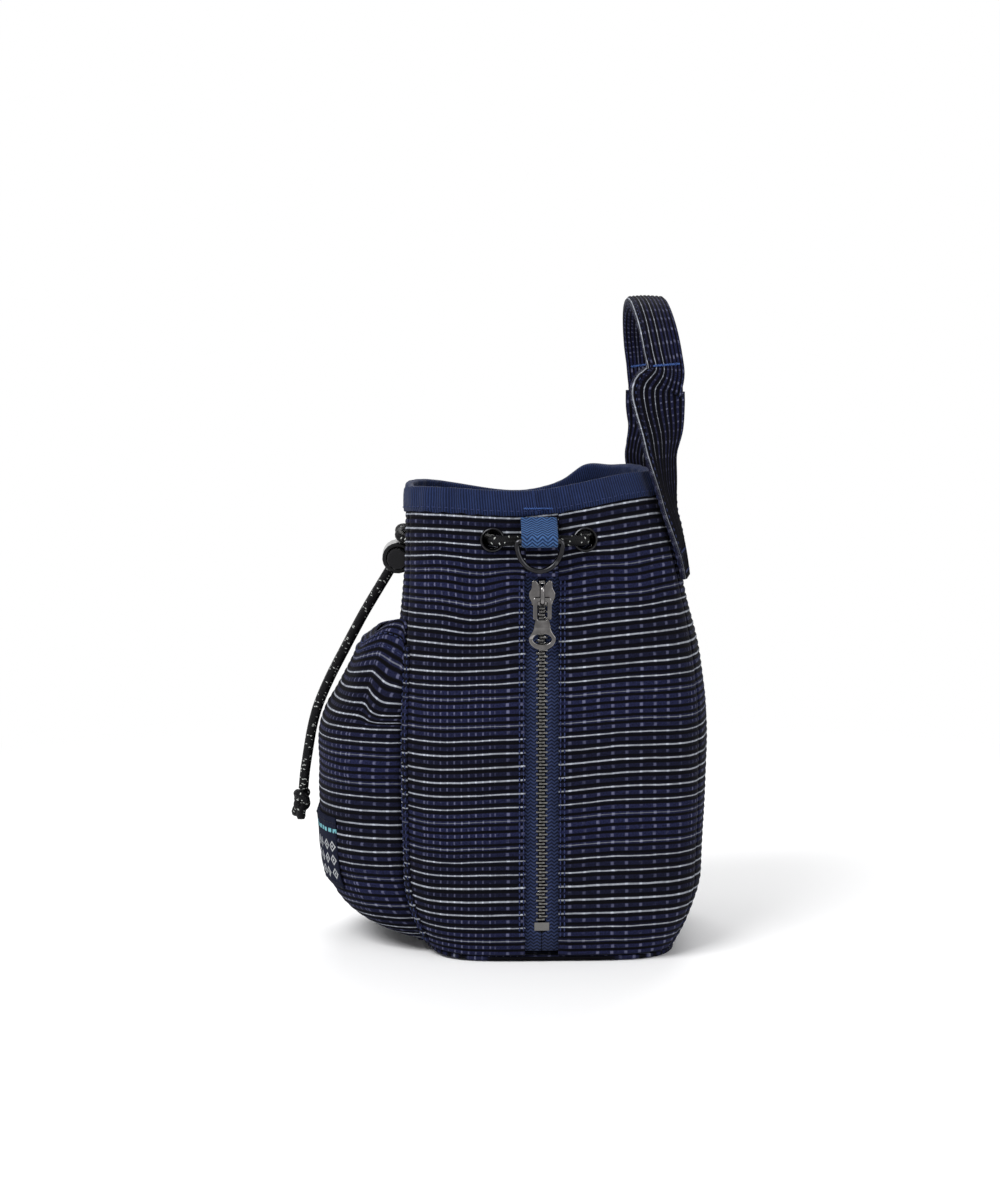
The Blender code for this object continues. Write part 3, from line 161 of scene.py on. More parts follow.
class Nodes:
    def __init__(self, name):
        self.look = bpy.data.materials.new(name)
        self.look.use_nodes = True
        self.tree = self.look.node_tree
        self.shader = self.tree.nodes["Principled BSDF"]

    def put(self, socket, value):
        if isinstance(value, bpy.types.NodeSocket):
            self.tree.links.new(value, socket)
        else:
            socket.default_value = value

    def math(self, operation, *values, clamp=False):
        node = self.tree.nodes.new("ShaderNodeMath")
        node.operation, node.use_clamp = operation, clamp
        for socket, value in zip(node.inputs, values):
            self.put(socket, value)
        return node.outputs[0]

    def step(self, value, low, high, smooth=True):
        node = self.tree.nodes.new("ShaderNodeMapRange")
        node.interpolation_type = "SMOOTHSTEP" if smooth else "LINEAR"
        self.put(node.inputs["Value"], value)
        self.put(node.inputs["From Min"], low)
        self.put(node.inputs["From Max"], high)
        return node.outputs["Result"]

    def mix(self, share, low, high):
        node = self.tree.nodes.new("ShaderNodeMix")
        node.data_type = "RGBA"
        self.put(node.inputs["Factor"], share)
        for socket, value in ((node.inputs[6], low), (node.inputs[7], high)):
            self.put(socket, value if isinstance(value, bpy.types.NodeSocket) else (*value, 1.0))
        return node.outputs[2]

    def map(self):
        node = self.tree.nodes.new("ShaderNodeUVMap")
        node.uv_map = "weave"
        parts = self.tree.nodes.new("ShaderNodeSeparateXYZ")
        self.tree.links.new(node.outputs[0], parts.inputs[0])
        return parts.outputs["X"], parts.outputs["Y"]

    def place(self):
        node = self.tree.nodes.new("ShaderNodeTexCoord")
        parts = self.tree.nodes.new("ShaderNodeSeparateXYZ")
        self.tree.links.new(node.outputs["Object"], parts.inputs[0])
        return node.outputs["Object"], parts.outputs["X"], parts.outputs["Y"], parts.outputs["Z"]

    def join(self, x, y, z=0.0):
        node = self.tree.nodes.new("ShaderNodeCombineXYZ")
        for socket, value in zip(node.inputs, (x, y, z)):
            self.put(socket, value)
        return node.outputs[0]

    def noise(self, where, scale, detail=2.0):
        node = self.tree.nodes.new("ShaderNodeTexNoise")
        self.tree.links.new(where, node.inputs["Vector"])
        node.inputs["Scale"].default_value = scale
        node.inputs["Detail"].default_value = detail
        return node.outputs["Fac"]

    def random(self, value):
        node = self.tree.nodes.new("ShaderNodeTexWhiteNoise")
        node.noise_dimensions = "1D"
        self.put(node.inputs["W"], value)
        return node.outputs["Value"]

    def edges(self):
        return self.tree.nodes.new("ShaderNodeNewGeometry").outputs["Pointiness"]

    def without(self, value):
        return self.math("SUBTRACT", 1.0, value)

    def shine(self, level):
        self.shader.inputs["Specular IOR Level"].default_value = level

    def bump(self, height, distance, strength=1.0):
        node = self.tree.nodes.new("ShaderNodeBump")
        self.put(node.inputs["Height"], height)
        node.inputs["Distance"].default_value = distance
        node.inputs["Strength"].default_value = strength
        self.tree.links.new(node.outputs[0], self.shader.inputs["Normal"])

    def finish(self, colour, roughness, metallic=0.0, sheen=0.0):
        self.put(self.shader.inputs["Base Color"],
                 colour if isinstance(colour, bpy.types.NodeSocket) else (*colour, 1.0))
        self.put(self.shader.inputs["Roughness"], roughness)
        self.shader.inputs["Metallic"].default_value = metallic
        self.shader.inputs["Sheen Weight"].default_value = sheen
        return self.look


# the ribbed cloth: bands across the rib direction, pale floats along it

cloth = {
    "ribPitch": 0.00275, "floatPitch": 0.0056, "floatWidth": 0.10, "groupPairs": 9.0,
    "navy": (0.017, 0.020, 0.062), "deepNavy": (0.008, 0.009, 0.024), "gap": (0.0018, 0.0017, 0.0028),
    "float": (0.115, 0.120, 0.200), "line": (0.46, 0.49, 0.56), "threadPitch": 0.00048,
    "ribHeight": 0.00048, "thickness": 0.0011,
}


def ribbedCloth():
    n = Nodes("ribbedCloth")
    u, v = n.map()
    where = n.join(u, v)
    wobble = n.math("MULTIPLY", n.math("SUBTRACT", n.noise(where, 90.0), 0.5), 0.0006)
    rows = n.math("DIVIDE", n.math("ADD", v, wobble), cloth["ribPitch"])
    row = n.math("FLOOR", rows)
    across = n.math("ABSOLUTE", n.math("SUBTRACT", n.math("FRACT", rows), 0.5))
    pair = n.math("FLOOR", n.math("MULTIPLY", row, 0.5))
    lineRow = n.without(n.math("MULTIPLY", n.math("FRACT", n.math("MULTIPLY", row, 0.5)), 2.0))
    phase = n.math("FRACT", n.math("DIVIDE", pair, cloth["groupPairs"]))
    swell = n.without(n.math("ABSOLUTE", n.math("SUBTRACT", n.math("MULTIPLY", phase, 2.0), 1.0)))
    group = n.step(swell, 0.10, 0.85, smooth=False)
    group = n.math("MULTIPLY", group, n.math("MULTIPLY_ADD", n.random(row), 0.4, 0.75), clamp=True)
    # pale floats stand in columns; some stretches of the cloth carry them twice as dense
    stretch = n.step(n.math("FRACT", n.math("DIVIDE", u, 0.094)), 0.70, 0.705)
    dense = n.math("MULTIPLY_ADD", stretch, 1.0, 1.0)
    column = n.math("MULTIPLY", n.math("DIVIDE", u, cloth["floatPitch"]), dense)
    jitter = n.math("MULTIPLY", n.math("SUBTRACT", n.random(row), 0.5), 0.10)
    offset = n.math("ABSOLUTE", n.math("SUBTRACT", n.math("FRACT", n.math("ADD", column, jitter)), 0.5))
    floats = n.without(n.step(offset, cloth["floatWidth"] * 0.6, cloth["floatWidth"] * 1.5))
    patchy = n.noise(where, 260.0, 1.0)
    floats = n.math("MULTIPLY", floats, n.step(patchy, 0.25, 0.62))
    band = n.without(n.step(across, 0.22, 0.36))
    thread = n.math("SINE", n.math("MULTIPLY", u, 2 * math.pi / cloth["threadPitch"]))
    grain = n.noise(where, 1500.0, 2.0)
    base = n.mix(group, cloth["navy"], cloth["deepNavy"])
    shade = n.math("MULTIPLY_ADD", n.step(thread, -0.6, 0.7), -0.45, 0.45)
    shade = n.math("ADD", shade, n.math("MULTIPLY", n.step(grain, 0.3, 0.75), 0.45), clamp=True)
    base = n.mix(shade, base, cloth["gap"])
    # painted shade: the rib valleys take the near-black gap colour
    colour = n.mix(band, cloth["gap"], base)
    tight = n.without(n.step(across, 0.14, 0.30))
    strong = n.math("MULTIPLY", n.math("MULTIPLY", floats, tight), n.math("MULTIPLY_ADD", group, -0.40, 0.85))
    colour = n.mix(strong, colour, cloth["float"])
    width = n.math("MULTIPLY_ADD", group, 0.075, 0.03)
    line = n.without(n.step(across, n.math("MULTIPLY", width, 0.75), n.math("ADD", width, 0.07)))
    line = n.math("MULTIPLY", n.math("MULTIPLY", line, lineRow), n.step(group, 0.02, 0.30))
    # where a pale line runs, the rest of its rib is nearly black
    dark = n.math("MULTIPLY", n.math("MULTIPLY", band, lineRow), n.step(group, 0.05, 0.35))
    colour = n.mix(n.math("MULTIPLY", dark, 0.8), colour, cloth["gap"])
    bright = n.math("MULTIPLY_ADD", floats, 0.45, 0.50)
    worn = n.math("MULTIPLY", n.step(n.noise(where, 160.0, 2.0), 0.25, 0.70), 0.45)
    patches = n.math("MULTIPLY_ADD", n.noise(where, 700.0, 1.0), 0.6, 0.40)
    bright = n.math("MULTIPLY", bright, n.math("ADD", worn, patches))
    colour = n.mix(n.math("MULTIPLY", line, bright, clamp=True), colour, cloth["line"])
    height = n.math("ADD", n.math("MULTIPLY", thread, 0.18),
                    n.math("ADD", grain, n.math("MULTIPLY", n.math("ADD", line, floats), 0.5)))
    n.bump(height, 0.00012, 0.8)
    n.shader.inputs["Sheen Roughness"].default_value = 0.5
    n.shine(0.05)
    return n.finish(colour, 0.92, 0.0, 0.015)


def tapeLook(name, colour, second, pitch, chevron=0.0):
    # woven tape: fine ribs across its length (u), with slanted twill where chevron is set
    n = Nodes(name)
    u, v = n.map()
    where = n.join(u, v)
    along = u
    if chevron:
        zig = n.math("ABSOLUTE", n.math("SUBTRACT", n.math("FRACT", n.math("DIVIDE", v, chevron)), 0.5))
        along = n.math("ADD", u, n.math("MULTIPLY", zig, chevron * 0.8))
    wave = n.math("SINE", n.math("MULTIPLY", along, 2 * math.pi / pitch))
    grain = n.noise(where, 900.0, 2.0)
    # painted shade: the tint darkens towards second in the troughs of the ribs
    share = n.math("ADD", n.math("MULTIPLY_ADD", wave, 0.50, 0.30), n.math("MULTIPLY", grain, 0.35), clamp=True)
    tint = n.mix(share, second, colour)
    large = n.noise(where, 120.0, 2.0)
    tint = n.mix(n.math("MULTIPLY", n.step(large, 0.35, 0.75), 0.30), tint, second)
    n.bump(n.math("ADD", wave, n.math("MULTIPLY", grain, 0.8)), 0.00010, 0.9)
    n.shine(0.10)
    return n.finish(tint, 0.8, 0.0, 0.05)


def metalLook(name, colour, roughness, wear):
    # painted highlight along the sharp edges, painted shade in the hollows, with a faint grain
    n = Nodes(name)
    where = n.place()[0]
    cloud = n.noise(where, 350.0, 3.0)
    fine = n.noise(where, 4200.0, 2.0)
    tint = n.mix(n.step(cloud, 0.35, 0.75), colour, tuple(c * (1 + wear) for c in colour))
    # painted highlight: the sharp edges turn bright
    edgeHighlight = n.step(n.edges(), 0.51, 0.60)
    tint = n.mix(n.math("MULTIPLY", edgeHighlight, 0.8), tint, tuple(min(0.7, c * 4) for c in colour))
    # painted shade: the hollows turn dark
    hollowShade = n.without(n.step(n.edges(), 0.38, 0.49))
    tint = n.mix(n.math("MULTIPLY", hollowShade, 0.85), tint, tuple(c * 0.15 for c in colour))
    rough = n.math("ADD", n.math("MULTIPLY", fine, 0.10), n.math("MULTIPLY_ADD", cloud, 0.12, roughness - 0.1))
    n.bump(fine, 0.00002, 0.5)
    return n.finish(tint, rough, 1.0)


def plasticLook(name, colour, roughness):
    n = Nodes(name)
    fine = n.noise(n.place()[0], 2600.0, 2.0)
    tint = n.mix(fine, colour, tuple(c * 1.5 + 0.002 for c in colour))
    n.bump(fine, 0.00002, 0.4)
    n.shine(0.15)
    return n.finish(tint, n.math("MULTIPLY_ADD", fine, 0.15, roughness), 0.0)


def threadLook(name, colour):
    n = Nodes(name)
    x, y, z = n.place()[1:]
    twist = n.math("SINE", n.math("MULTIPLY", n.math("ADD", n.math("ADD", x, y), z), 9000.0))
    tint = n.mix(n.math("MULTIPLY_ADD", twist, 0.25, 0.3), colour, tuple(c * 0.45 for c in colour))
    n.bump(twist, 0.00004, 0.6)
    n.shine(0.15)
    return n.finish(tint, 0.75, 0.0, 0.02)


cordFinish = {"black": (0.0075, 0.0075, 0.009), "dark": (0.0015, 0.0015, 0.002), "fleck": (0.50, 0.52, 0.50),
              "strands": 8.0, "advance": 0.0048}


def braidLook():
    # u runs once round the cord, v along it in metres
    n = Nodes("braidedCord")
    u, v = n.map()
    lift = n.math("DIVIDE", v, cordFinish["advance"])
    left = n.math("MULTIPLY", n.math("ADD", u, lift), cordFinish["strands"])
    right = n.math("MULTIPLY", n.math("SUBTRACT", u, lift), cordFinish["strands"])
    cellA, cellB = n.math("FLOOR", left), n.math("FLOOR", right)
    over = n.math("FRACT", n.math("MULTIPLY", n.math("ADD", cellA, cellB), 0.5))
    over = n.math("GREATER_THAN", over, 0.25)
    roundA = n.math("SINE", n.math("MULTIPLY", n.math("FRACT", left), math.pi))
    roundB = n.math("SINE", n.math("MULTIPLY", n.math("FRACT", right), math.pi))
    height = n.math("ADD", n.math("MULTIPLY", over, roundA),
                    n.math("MULTIPLY", n.without(over), roundB))
    pick = n.math("LESS_THAN", n.random(n.math("ADD", n.math("MULTIPLY", cellA, 7.31), cellB)), 0.085)
    pick = n.math("MULTIPLY", pick, n.step(height, 0.35, 0.6))
    # painted shade: the strands darken towards the grooves between them
    tint = n.mix(n.step(height, 0.1, 0.9), cordFinish["dark"], cordFinish["black"])
    tint = n.mix(pick, tint, cordFinish["fleck"])
    n.bump(height, 0.00035, 1.0)
    n.shine(0.12)
    return n.finish(tint, 0.50, 0.0, 0.0)


looks = {
    "cloth": ribbedCloth(),
    "binding": tapeLook("bindingTape", (0.013, 0.026, 0.086), (0.003, 0.005, 0.018), 0.00100),
    "webbing": tapeLook("tabWebbing", (0.046, 0.110, 0.260), (0.005, 0.012, 0.040), 0.00135, chevron=0.0040),
    "zipTape": tapeLook("zipTape", (0.024, 0.036, 0.095), (0.002, 0.003, 0.009), 0.00140, chevron=0.0024),
    "teeth": metalLook("zipMetal", (0.045, 0.044, 0.043), 0.22, 0.9),
    "slider": metalLook("sliderMetal", (0.100, 0.096, 0.095), 0.12, 0.5),
    "blackMetal": metalLook("blackPlating", (0.020, 0.020, 0.022), 0.08, 0.6),
    "plastic": plasticLook("lockPlastic", (0.005, 0.005, 0.006), 0.08),
    "cord": braidLook(),
    "navyThread": threadLook("navyThread", (0.022, 0.032, 0.095)),
    "blueThread": threadLook("blueThread", (0.045, 0.095, 0.280)),
    "blackThread": threadLook("blackThread", (0.012, 0.012, 0.020)),
}
say("materials")


# mesh helpers

def gridPiece(name, points, look, weave=None, closed=False, ends=False):
    # points is rows x columns x 3; closed joins the last column to the first
    rows, columns = points.shape[:2]
    index = np.arange(rows * columns).reshape(rows, columns)
    if closed:
        index = np.concatenate([index, index[:, :1]], axis=1)
    quads = np.stack([index[:-1, :-1], index[:-1, 1:], index[1:, 1:], index[1:, :-1]], axis=-1).reshape(-1, 4)
    faces = quads.tolist()
    if ends:
        faces += [index[0, :columns][::-1].tolist(), index[-1, :columns].tolist()]
    mesh = bpy.data.meshes.new(name)
    mesh.from_pydata(points.reshape(-1, 3).tolist(), [], faces)
    if weave is not None:
        if closed:
            wrap = weave[:, :1].copy()
            wrap[..., 0] += 2 * weave[:, -1:, 0] - weave[:, -2:-1, 0] - weave[:, :1, 0]
            weave = np.concatenate([weave, wrap], axis=1)
        layer = mesh.uv_layers.new(name="weave")
        corner = np.stack([weave[:-1, :-1], weave[:-1, 1:], weave[1:, 1:], weave[1:, :-1]], axis=2)
        flat = corner.reshape(-1, 2).astype(np.float32)
        data = np.zeros((len(mesh.loops), 2), np.float32)
        data[:len(flat)] = flat
        layer.data.foreach_set("uv", data.ravel())
    mesh.shade_smooth()
    mesh.materials.append(look)
    return linked(name, mesh)


def settle(piece, slot, body, *nodes):
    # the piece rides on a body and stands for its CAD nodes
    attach(piece, body)
    if nodes:
        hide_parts(*nodes)


def tidyMesh(mesh, reach=0.0):
    # turns the faces outward and joins points that lie within reach
    work = bmesh.new()
    work.from_mesh(mesh)
    if reach:
        bmesh.ops.remove_doubles(work, verts=work.verts, dist=reach)
    bmesh.ops.recalc_face_normals(work, faces=work.faces)
    work.to_mesh(mesh)
    work.free()


def distances(line):
    # how far along a line each of its points lies
    return np.concatenate([[0], np.cumsum(np.linalg.norm(np.diff(line, axis=0), axis=1))])


def acrossRows(points):
    # the same along each row of a grid of points
    steps = np.linalg.norm(np.diff(points, axis=1), axis=2)
    return np.concatenate([np.zeros((len(points), 1)), np.cumsum(steps, axis=1)], axis=1)


def thicken(piece, thickness, offset=-1.0):
    change = piece.modifiers.new("thickness", "SOLIDIFY")
    change.thickness, change.offset = thickness, offset
    change.use_even_offset = False


def soften(piece, width, segments):
    change = piece.modifiers.new("edges", "BEVEL")
    change.width, change.segments = width, segments
    change.limit_method, change.angle_limit = "ANGLE", math.radians(35)
    change.harden_normals = False


def unit(vectors):
    return vectors / np.maximum(np.linalg.norm(vectors, axis=-1, keepdims=True), 1e-12)


def tube(name, line, radius, look, sides=16, ends=True):
    # a round tube along a line of points, with its map running round and along it
    line = np.array(line, float)
    along = unit(np.gradient(line, axis=0))
    side = np.zeros_like(line)
    start = np.cross(along[0], (0.0, 0.0, 1.0))
    if np.linalg.norm(start) < 0.1:
        start = np.cross(along[0], (0.0, 1.0, 0.0))
    side[0] = unit(start)
    for k in range(1, len(line)):
        carried = side[k - 1] - along[k] * np.dot(side[k - 1], along[k])
        side[k] = unit(carried)
    up = np.cross(along, side)
    walked = distances(line)
    turn = np.linspace(0, 2 * math.pi, sides, endpoint=False)
    reach = np.broadcast_to(np.asarray(radius, float), (len(line),))[:, None, None]
    points = line[:, None] + reach * (side[:, None] * np.cos(turn)[None, :, None]
                                      + up[:, None] * np.sin(turn)[None, :, None])
    weave = np.stack(np.meshgrid(turn / (2 * math.pi), walked), axis=-1)
    return gridPiece(name, points, look, weave, closed=True, ends=ends)


def smoothLine(route, spacing):
    knots = np.array(route, float)
    knots = np.vstack([2 * knots[0] - knots[1], knots, 2 * knots[-1] - knots[-2]])
    fine = []
    for a, b, c, d in zip(knots, knots[1:], knots[2:], knots[3:]):
        for t in np.linspace(0, 1, 12, endpoint=False):
            fine.append(0.5 * (2 * b + (c - a) * t + (2 * a - 5 * b + 4 * c - d) * t * t
                               + (3 * b - a - 3 * c + d) * t ** 3))
    fine.append(knots[-2])
    return evenly(np.array(fine), spacing)


def evenly(line, spacing):
    walked = distances(line)
    count = max(2, int(round(walked[-1] / spacing)))
    at = np.linspace(0, walked[-1], count + 1)
    return np.stack([np.interp(at, walked, line[:, k]) for k in range(3)], axis=1)


def stitches(name, line, normals, look, pitch=0.0027, fill=0.68, radius=0.00022, sink=0.25):
    # short thread bars along a line that lies on the cloth, each arched into it at its ends
    line, normals = np.array(line, float), np.array(normals, float)
    walked = distances(line)
    count = int(walked[-1] / pitch)
    points, faces = [], []
    for k in range(count):
        at = (k + 0.5) * pitch + np.array([-0.5, -0.28, 0.0, 0.28, 0.5]) * pitch * fill
        middle = np.stack([np.interp(at, walked, line[:, c]) for c in range(3)], axis=1)
        out = unit(np.stack([np.interp(at, walked, normals[:, c]) for c in range(3)], axis=1))
        rise = np.array([-1.2, 0.35, 0.7, 0.35, -1.2])[:, None] * radius
        middle = middle + out * (rise - radius * sink)
        along = unit(middle[-1] - middle[0])
        side = unit(np.cross(along, out[2]))
        first = len(points)
        for spot, size in zip(middle, (0.5, 0.95, 1.0, 0.95, 0.5)):
            for t in range(6):
                a = t * math.pi / 3
                points.append(spot + (side * math.cos(a) + out[2] * math.sin(a)) * radius * size)
        for r in range(4):
            for t in range(6):
                a, b = first + r * 6 + t, first + r * 6 + (t + 1) % 6
                faces.append((a, b, b + 6, a + 6))
        faces += [tuple(first + t for t in range(5, -1, -1)), tuple(first + 24 + t for t in range(6))]
    mesh = bpy.data.meshes.new(name)
    mesh.from_pydata([tuple(p) for p in points], [], faces)
    mesh.shade_smooth()
    mesh.materials.append(look)
    return linked(name, mesh)


def joined(name, pieces):
    with bpy.context.temp_override(active_object=pieces[0], object=pieces[0], selected_objects=pieces,
                                   selected_editable_objects=pieces):
        bpy.ops.object.join()
    pieces[0].name = name
    return pieces[0]


# the drawstring: its run round the mouth, two tails and their knot

drawstring = {
    "diameter": 0.004, "knot": (0.0, -0.1004, 0.0545), "knotSize": 0.00128,
    "run": (
        (0.0135, -0.0538, 0.1627), (0.0143, -0.0497, 0.1628), (0.0205, -0.0486, 0.1634),
        (0.0310, -0.0510, 0.1645), (0.0415, -0.0482, 0.1652), (0.0480, -0.0395, 0.1656),
        (0.0496, -0.0305, 0.1658), (0.0526, -0.0246, 0.1660), (0.0572, -0.0237, 0.1662),
        (0.0606, -0.0228, 0.1662), (0.0619, -0.0202, 0.1662), (0.0614, -0.0168, 0.1662),
        (0.0607, -0.0136, 0.1662), (0.0606, -0.0058, 0.1662), (0.0607, 0.0020, 0.1662),
        (0.0614, 0.0052, 0.1662), (0.0619, 0.0086, 0.1662), (0.0606, 0.0112, 0.1662),
        (0.0573, 0.0121, 0.1662), (0.0527, 0.0130, 0.1660), (0.0498, 0.0195, 0.1659),
        (0.0475, 0.0290, 0.1657), (0.0410, 0.0370, 0.1655), (0.0310, 0.0425, 0.1653),
        (0.0155, 0.0432, 0.1650), (0.0000, 0.0436, 0.1646), (-0.0154, 0.0438, 0.1640),
        (-0.0305, 0.0422, 0.1630), (-0.0415, 0.0365, 0.1615), (-0.0480, 0.0285, 0.1600),
        (-0.0504, 0.0190, 0.1590), (-0.0532, 0.0130, 0.1588), (-0.0580, 0.0121, 0.1587),
        (-0.0613, 0.0112, 0.1587), (-0.0626, 0.0086, 0.1587), (-0.0621, 0.0052, 0.1587),
        (-0.0614, 0.0020, 0.1587), (-0.0613, -0.0058, 0.1587), (-0.0614, -0.0136, 0.1587),
        (-0.0621, -0.0168, 0.1587), (-0.0626, -0.0202, 0.1587), (-0.0613, -0.0228, 0.1587),
        (-0.0579, -0.0237, 0.1587), (-0.0532, -0.0246, 0.1589), (-0.0503, -0.0305, 0.1596),
        (-0.0482, -0.0395, 0.1605), (-0.0415, -0.0476, 0.1614), (-0.0310, -0.0505, 0.1620),
        (-0.0205, -0.0490, 0.1624), (-0.0143, -0.0497, 0.1626), (-0.0135, -0.0538, 0.1627),
    ),
    "tail": (
        (0.0135, -0.0544, 0.1627), (0.0132, -0.0576, 0.1629), (0.0115, -0.0596, 0.1639),
        (0.0086, -0.0592, 0.1651), (0.0054, -0.0575, 0.1655), (0.0030, -0.0561, 0.1643),
        (0.0022, -0.0562, 0.1619), (0.0022, -0.0572, 0.1602), (0.0022, -0.0606, 0.1545),
        (0.0022, -0.0647, 0.1476), (0.0022, -0.0694, 0.1399), (0.0022, -0.0740, 0.1322),
        (0.0022, -0.0780, 0.1249), (0.0022, -0.0821, 0.1172), (0.0022, -0.0872, 0.1075),
        (0.0022, -0.0910, 0.0994), (0.0022, -0.0939, 0.0920), (0.0023, -0.0960, 0.0840),
        (0.0024, -0.0976, 0.0750), (0.0023, -0.0990, 0.0660), (0.0022, -0.0997, 0.0591),
    ),
}


def braidedCord(name, route):
    line = smoothLine(route, 0.0009)
    made = tube(name, line, drawstring["diameter"] / 2, looks["cord"], sides=20)
    settle(made, "cord", "pouch")
    return made, line


def makeKnot():
    # an overhand knot drawn tight, with the two cut ends sticking out below it
    size = drawstring["knotSize"]
    centre = np.array(drawstring["knot"])
    t = np.linspace(0, 2 * math.pi, 121)[:-1]
    loop = np.stack([np.sin(t) + 2 * np.sin(2 * t), 1.25 * np.sin(3 * t),
                     np.cos(t) - 2 * np.cos(2 * t)], axis=1)
    loop[:, 2] *= 0.92
    line = centre + loop * size
    line = np.vstack([line, line[:1]])
    parts = [tube("knotLoop", line, 0.00185, looks["cord"], sides=18, ends=False)]
    for side, lean in ((-1, 0.9), (1, 0.35)):
        foot = centre + np.array([side * 0.0016, 0.0006 * side, -0.0022])
        tip = foot + np.array([side * 0.0018, -0.0026 * lean, -0.0062 + 0.0012 * lean])
        stub = smoothLine([foot, (foot + tip) / 2 + np.array([0, -0.0004, 0]), tip], 0.0006)
        radius = np.interp(np.linspace(0, 1, len(stub)), [0, 0.8, 1], [0.0018, 0.0019, 0.0014])
        parts.append(tube("knotEnd", stub, radius, looks["cord"], sides=16))
    knot = joined("tiedKnot", parts)
    settle(knot, "cord", "pouch", "drawstring_knot")
    return knot


def makeDrawstring():
    run, line = braidedCord("rimCord", drawstring["run"])
    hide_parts("drawstring_rim_run")
    knot = makeKnot()
    for side, name in ((1, "near"), (-1, "far")):
        route = [(side * x, y, z) for x, y, z in drawstring["tail"]]
        tail, line = braidedCord("tailCord_" + name, route)
        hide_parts("drawstring_tail_" + name)


makeDrawstring()
say("drawstring")


# the pouch's surface: phi turns from the zip side (+X) towards the back (+Y)

pouch = {
    "clothThickness": 0.0012, "edgePower": 1.6,
    "rimHump": 0.0034,
    "height": 0.187, "baseWidth": 0.124, "shoulderWidth": 0.117, "rimWidth": 0.108,
    "baseDepth": 0.1215, "bellyDepth": 0.1265, "bellyHeight": 0.085, "rimDepth": 0.105, "rimShift": 0.0085,
    "baseSquareness": 4.6, "rimSquareness": 3.4, "edgeInset": 0.011, "edgeHeight": 0.030,
    "sideEdgeInset": 0.0045, "sideEdgeHeight": 0.012, "frontLift": 0.0045, "liftStart": 0.028,
    "rimLevels": (-0.0030, 0.0035, 0.0, 0.0010, -0.0105, -0.0050, -0.0065, -0.0020),
    "frontRecess": 0.0095, "backRecess": 0.0025, "recessStart": 0.090, "recessFull": 0.152,
    "gatherDepth": 0.0011, "gatherCount": 7, "seamAngle": math.radians(52), "seamGap": 0.0003,
    "baseThickness": 0.0016, "zipY": -0.0045, "zipOpening": 0.013, "zipTop": 0.1515, "zipBottom": 0.0125,
    "tabY": -0.0058, "eyeletSpread": 0.036, "press": 0.010,
}
# each drape fold: angle, level, half width (angle), half height, depth, lean (angle per metre)
drapes = (
    (-20, 0.136, 11, 0.026, -0.0030, 6.0), (30, 0.150, 9, 0.016, -0.0014, -8.0),
    (36, 0.118, 12, 0.020, 0.0012, 0.0), (-38, 0.165, 9, 0.016, 0.0012, 0.0),
    (70, 0.150, 13, 0.024, -0.0016, 5.0), (118, 0.135, 15, 0.028, -0.0018, -5.0),
    (150, 0.140, 11, 0.024, -0.0024, 6.0), (205, 0.142, 12, 0.026, -0.0024, -6.0),
    (180, 0.095, 18, 0.034, 0.0015, 0.0), (90, 0.090, 24, 0.040, 0.0018, 0.0),
)
# smaller creases that only the finished cloth carries, in the same terms
creases = (
    (-27, 0.150, 4.5, 0.020, -0.0011, 9.0), (-33, 0.128, 5.0, 0.022, 0.0008, 7.0),
    (-22, 0.112, 5.0, 0.018, -0.0007, 7.0), (-40, 0.100, 5.0, 0.020, -0.0006, 3.0),
    (22, 0.158, 3.5, 0.010, -0.0009, -9.0), (30, 0.140, 4.0, 0.014, 0.0006, -8.0),
    (38, 0.160, 4.0, 0.014, -0.0008, -4.0), (-30, 0.040, 7.0, 0.018, -0.0006, 3.0),
    (28, 0.045, 8.0, 0.020, 0.0006, -3.0), (34, 0.080, 7.0, 0.018, -0.0006, 2.0),
    (75, 0.120, 5.0, 0.025, -0.0008, 5.0), (100, 0.160, 5.0, 0.018, -0.0008, 0.0),
    (125, 0.110, 6.0, 0.025, 0.0007, -6.0), (160, 0.110, 5.0, 0.020, -0.0008, 6.0),
    (200, 0.115, 5.0, 0.020, 0.0007, -6.0), (215, 0.160, 5.0, 0.016, -0.0008, -4.0),
)


def mixed(low, high, share):
    return low + (high - low) * share


def eased(share):
    share = np.clip(share, 0.0, 1.0)
    return share * share * (3 - 2 * share)


def narrowing(z):
    p = pouch
    return np.maximum(0.0, (z - p["bellyHeight"]) / (p["height"] - p["bellyHeight"])) ** 2


def halfWidth(z):
    p = pouch
    straight = mixed(p["baseWidth"], p["shoulderWidth"], z / p["zipTop"]) / 2
    above = np.maximum(0.0, (z - p["zipTop"]) / (p["height"] - p["zipTop"]))
    fall = mixed(p["baseWidth"], p["shoulderWidth"], p["height"] / p["zipTop"]) / 2 - p["rimWidth"] / 2
    edge = p["sideEdgeInset"] * np.maximum(0.0, 1 - z / p["sideEdgeHeight"]) ** p["edgePower"]
    return straight - fall * above ** 2 - edge


def halfDepth(z):
    p = pouch
    low = mixed(p["baseDepth"], p["bellyDepth"], eased(z / p["bellyHeight"])) / 2
    edge = p["edgeInset"] * np.maximum(0.0, 1 - z / p["edgeHeight"]) ** p["edgePower"]
    return low - (p["bellyDepth"] - p["rimDepth"]) / 2 * narrowing(z) - edge


def centreY(z):
    return -pouch["rimShift"] * narrowing(z)


def plainPoint(phi, z):
    n = mixed(pouch["baseSquareness"], pouch["rimSquareness"], z / pouch["height"])
    c, s = np.cos(phi), np.sin(phi)
    r = (np.abs(c) ** n + np.abs(s) ** n) ** (-1 / n)
    return np.stack([halfWidth(z) * c * r, centreY(z) + halfDepth(z) * s * r, z], axis=-1)


def away(phi, target):
    return (phi - target + math.pi) % (2 * math.pi) - math.pi


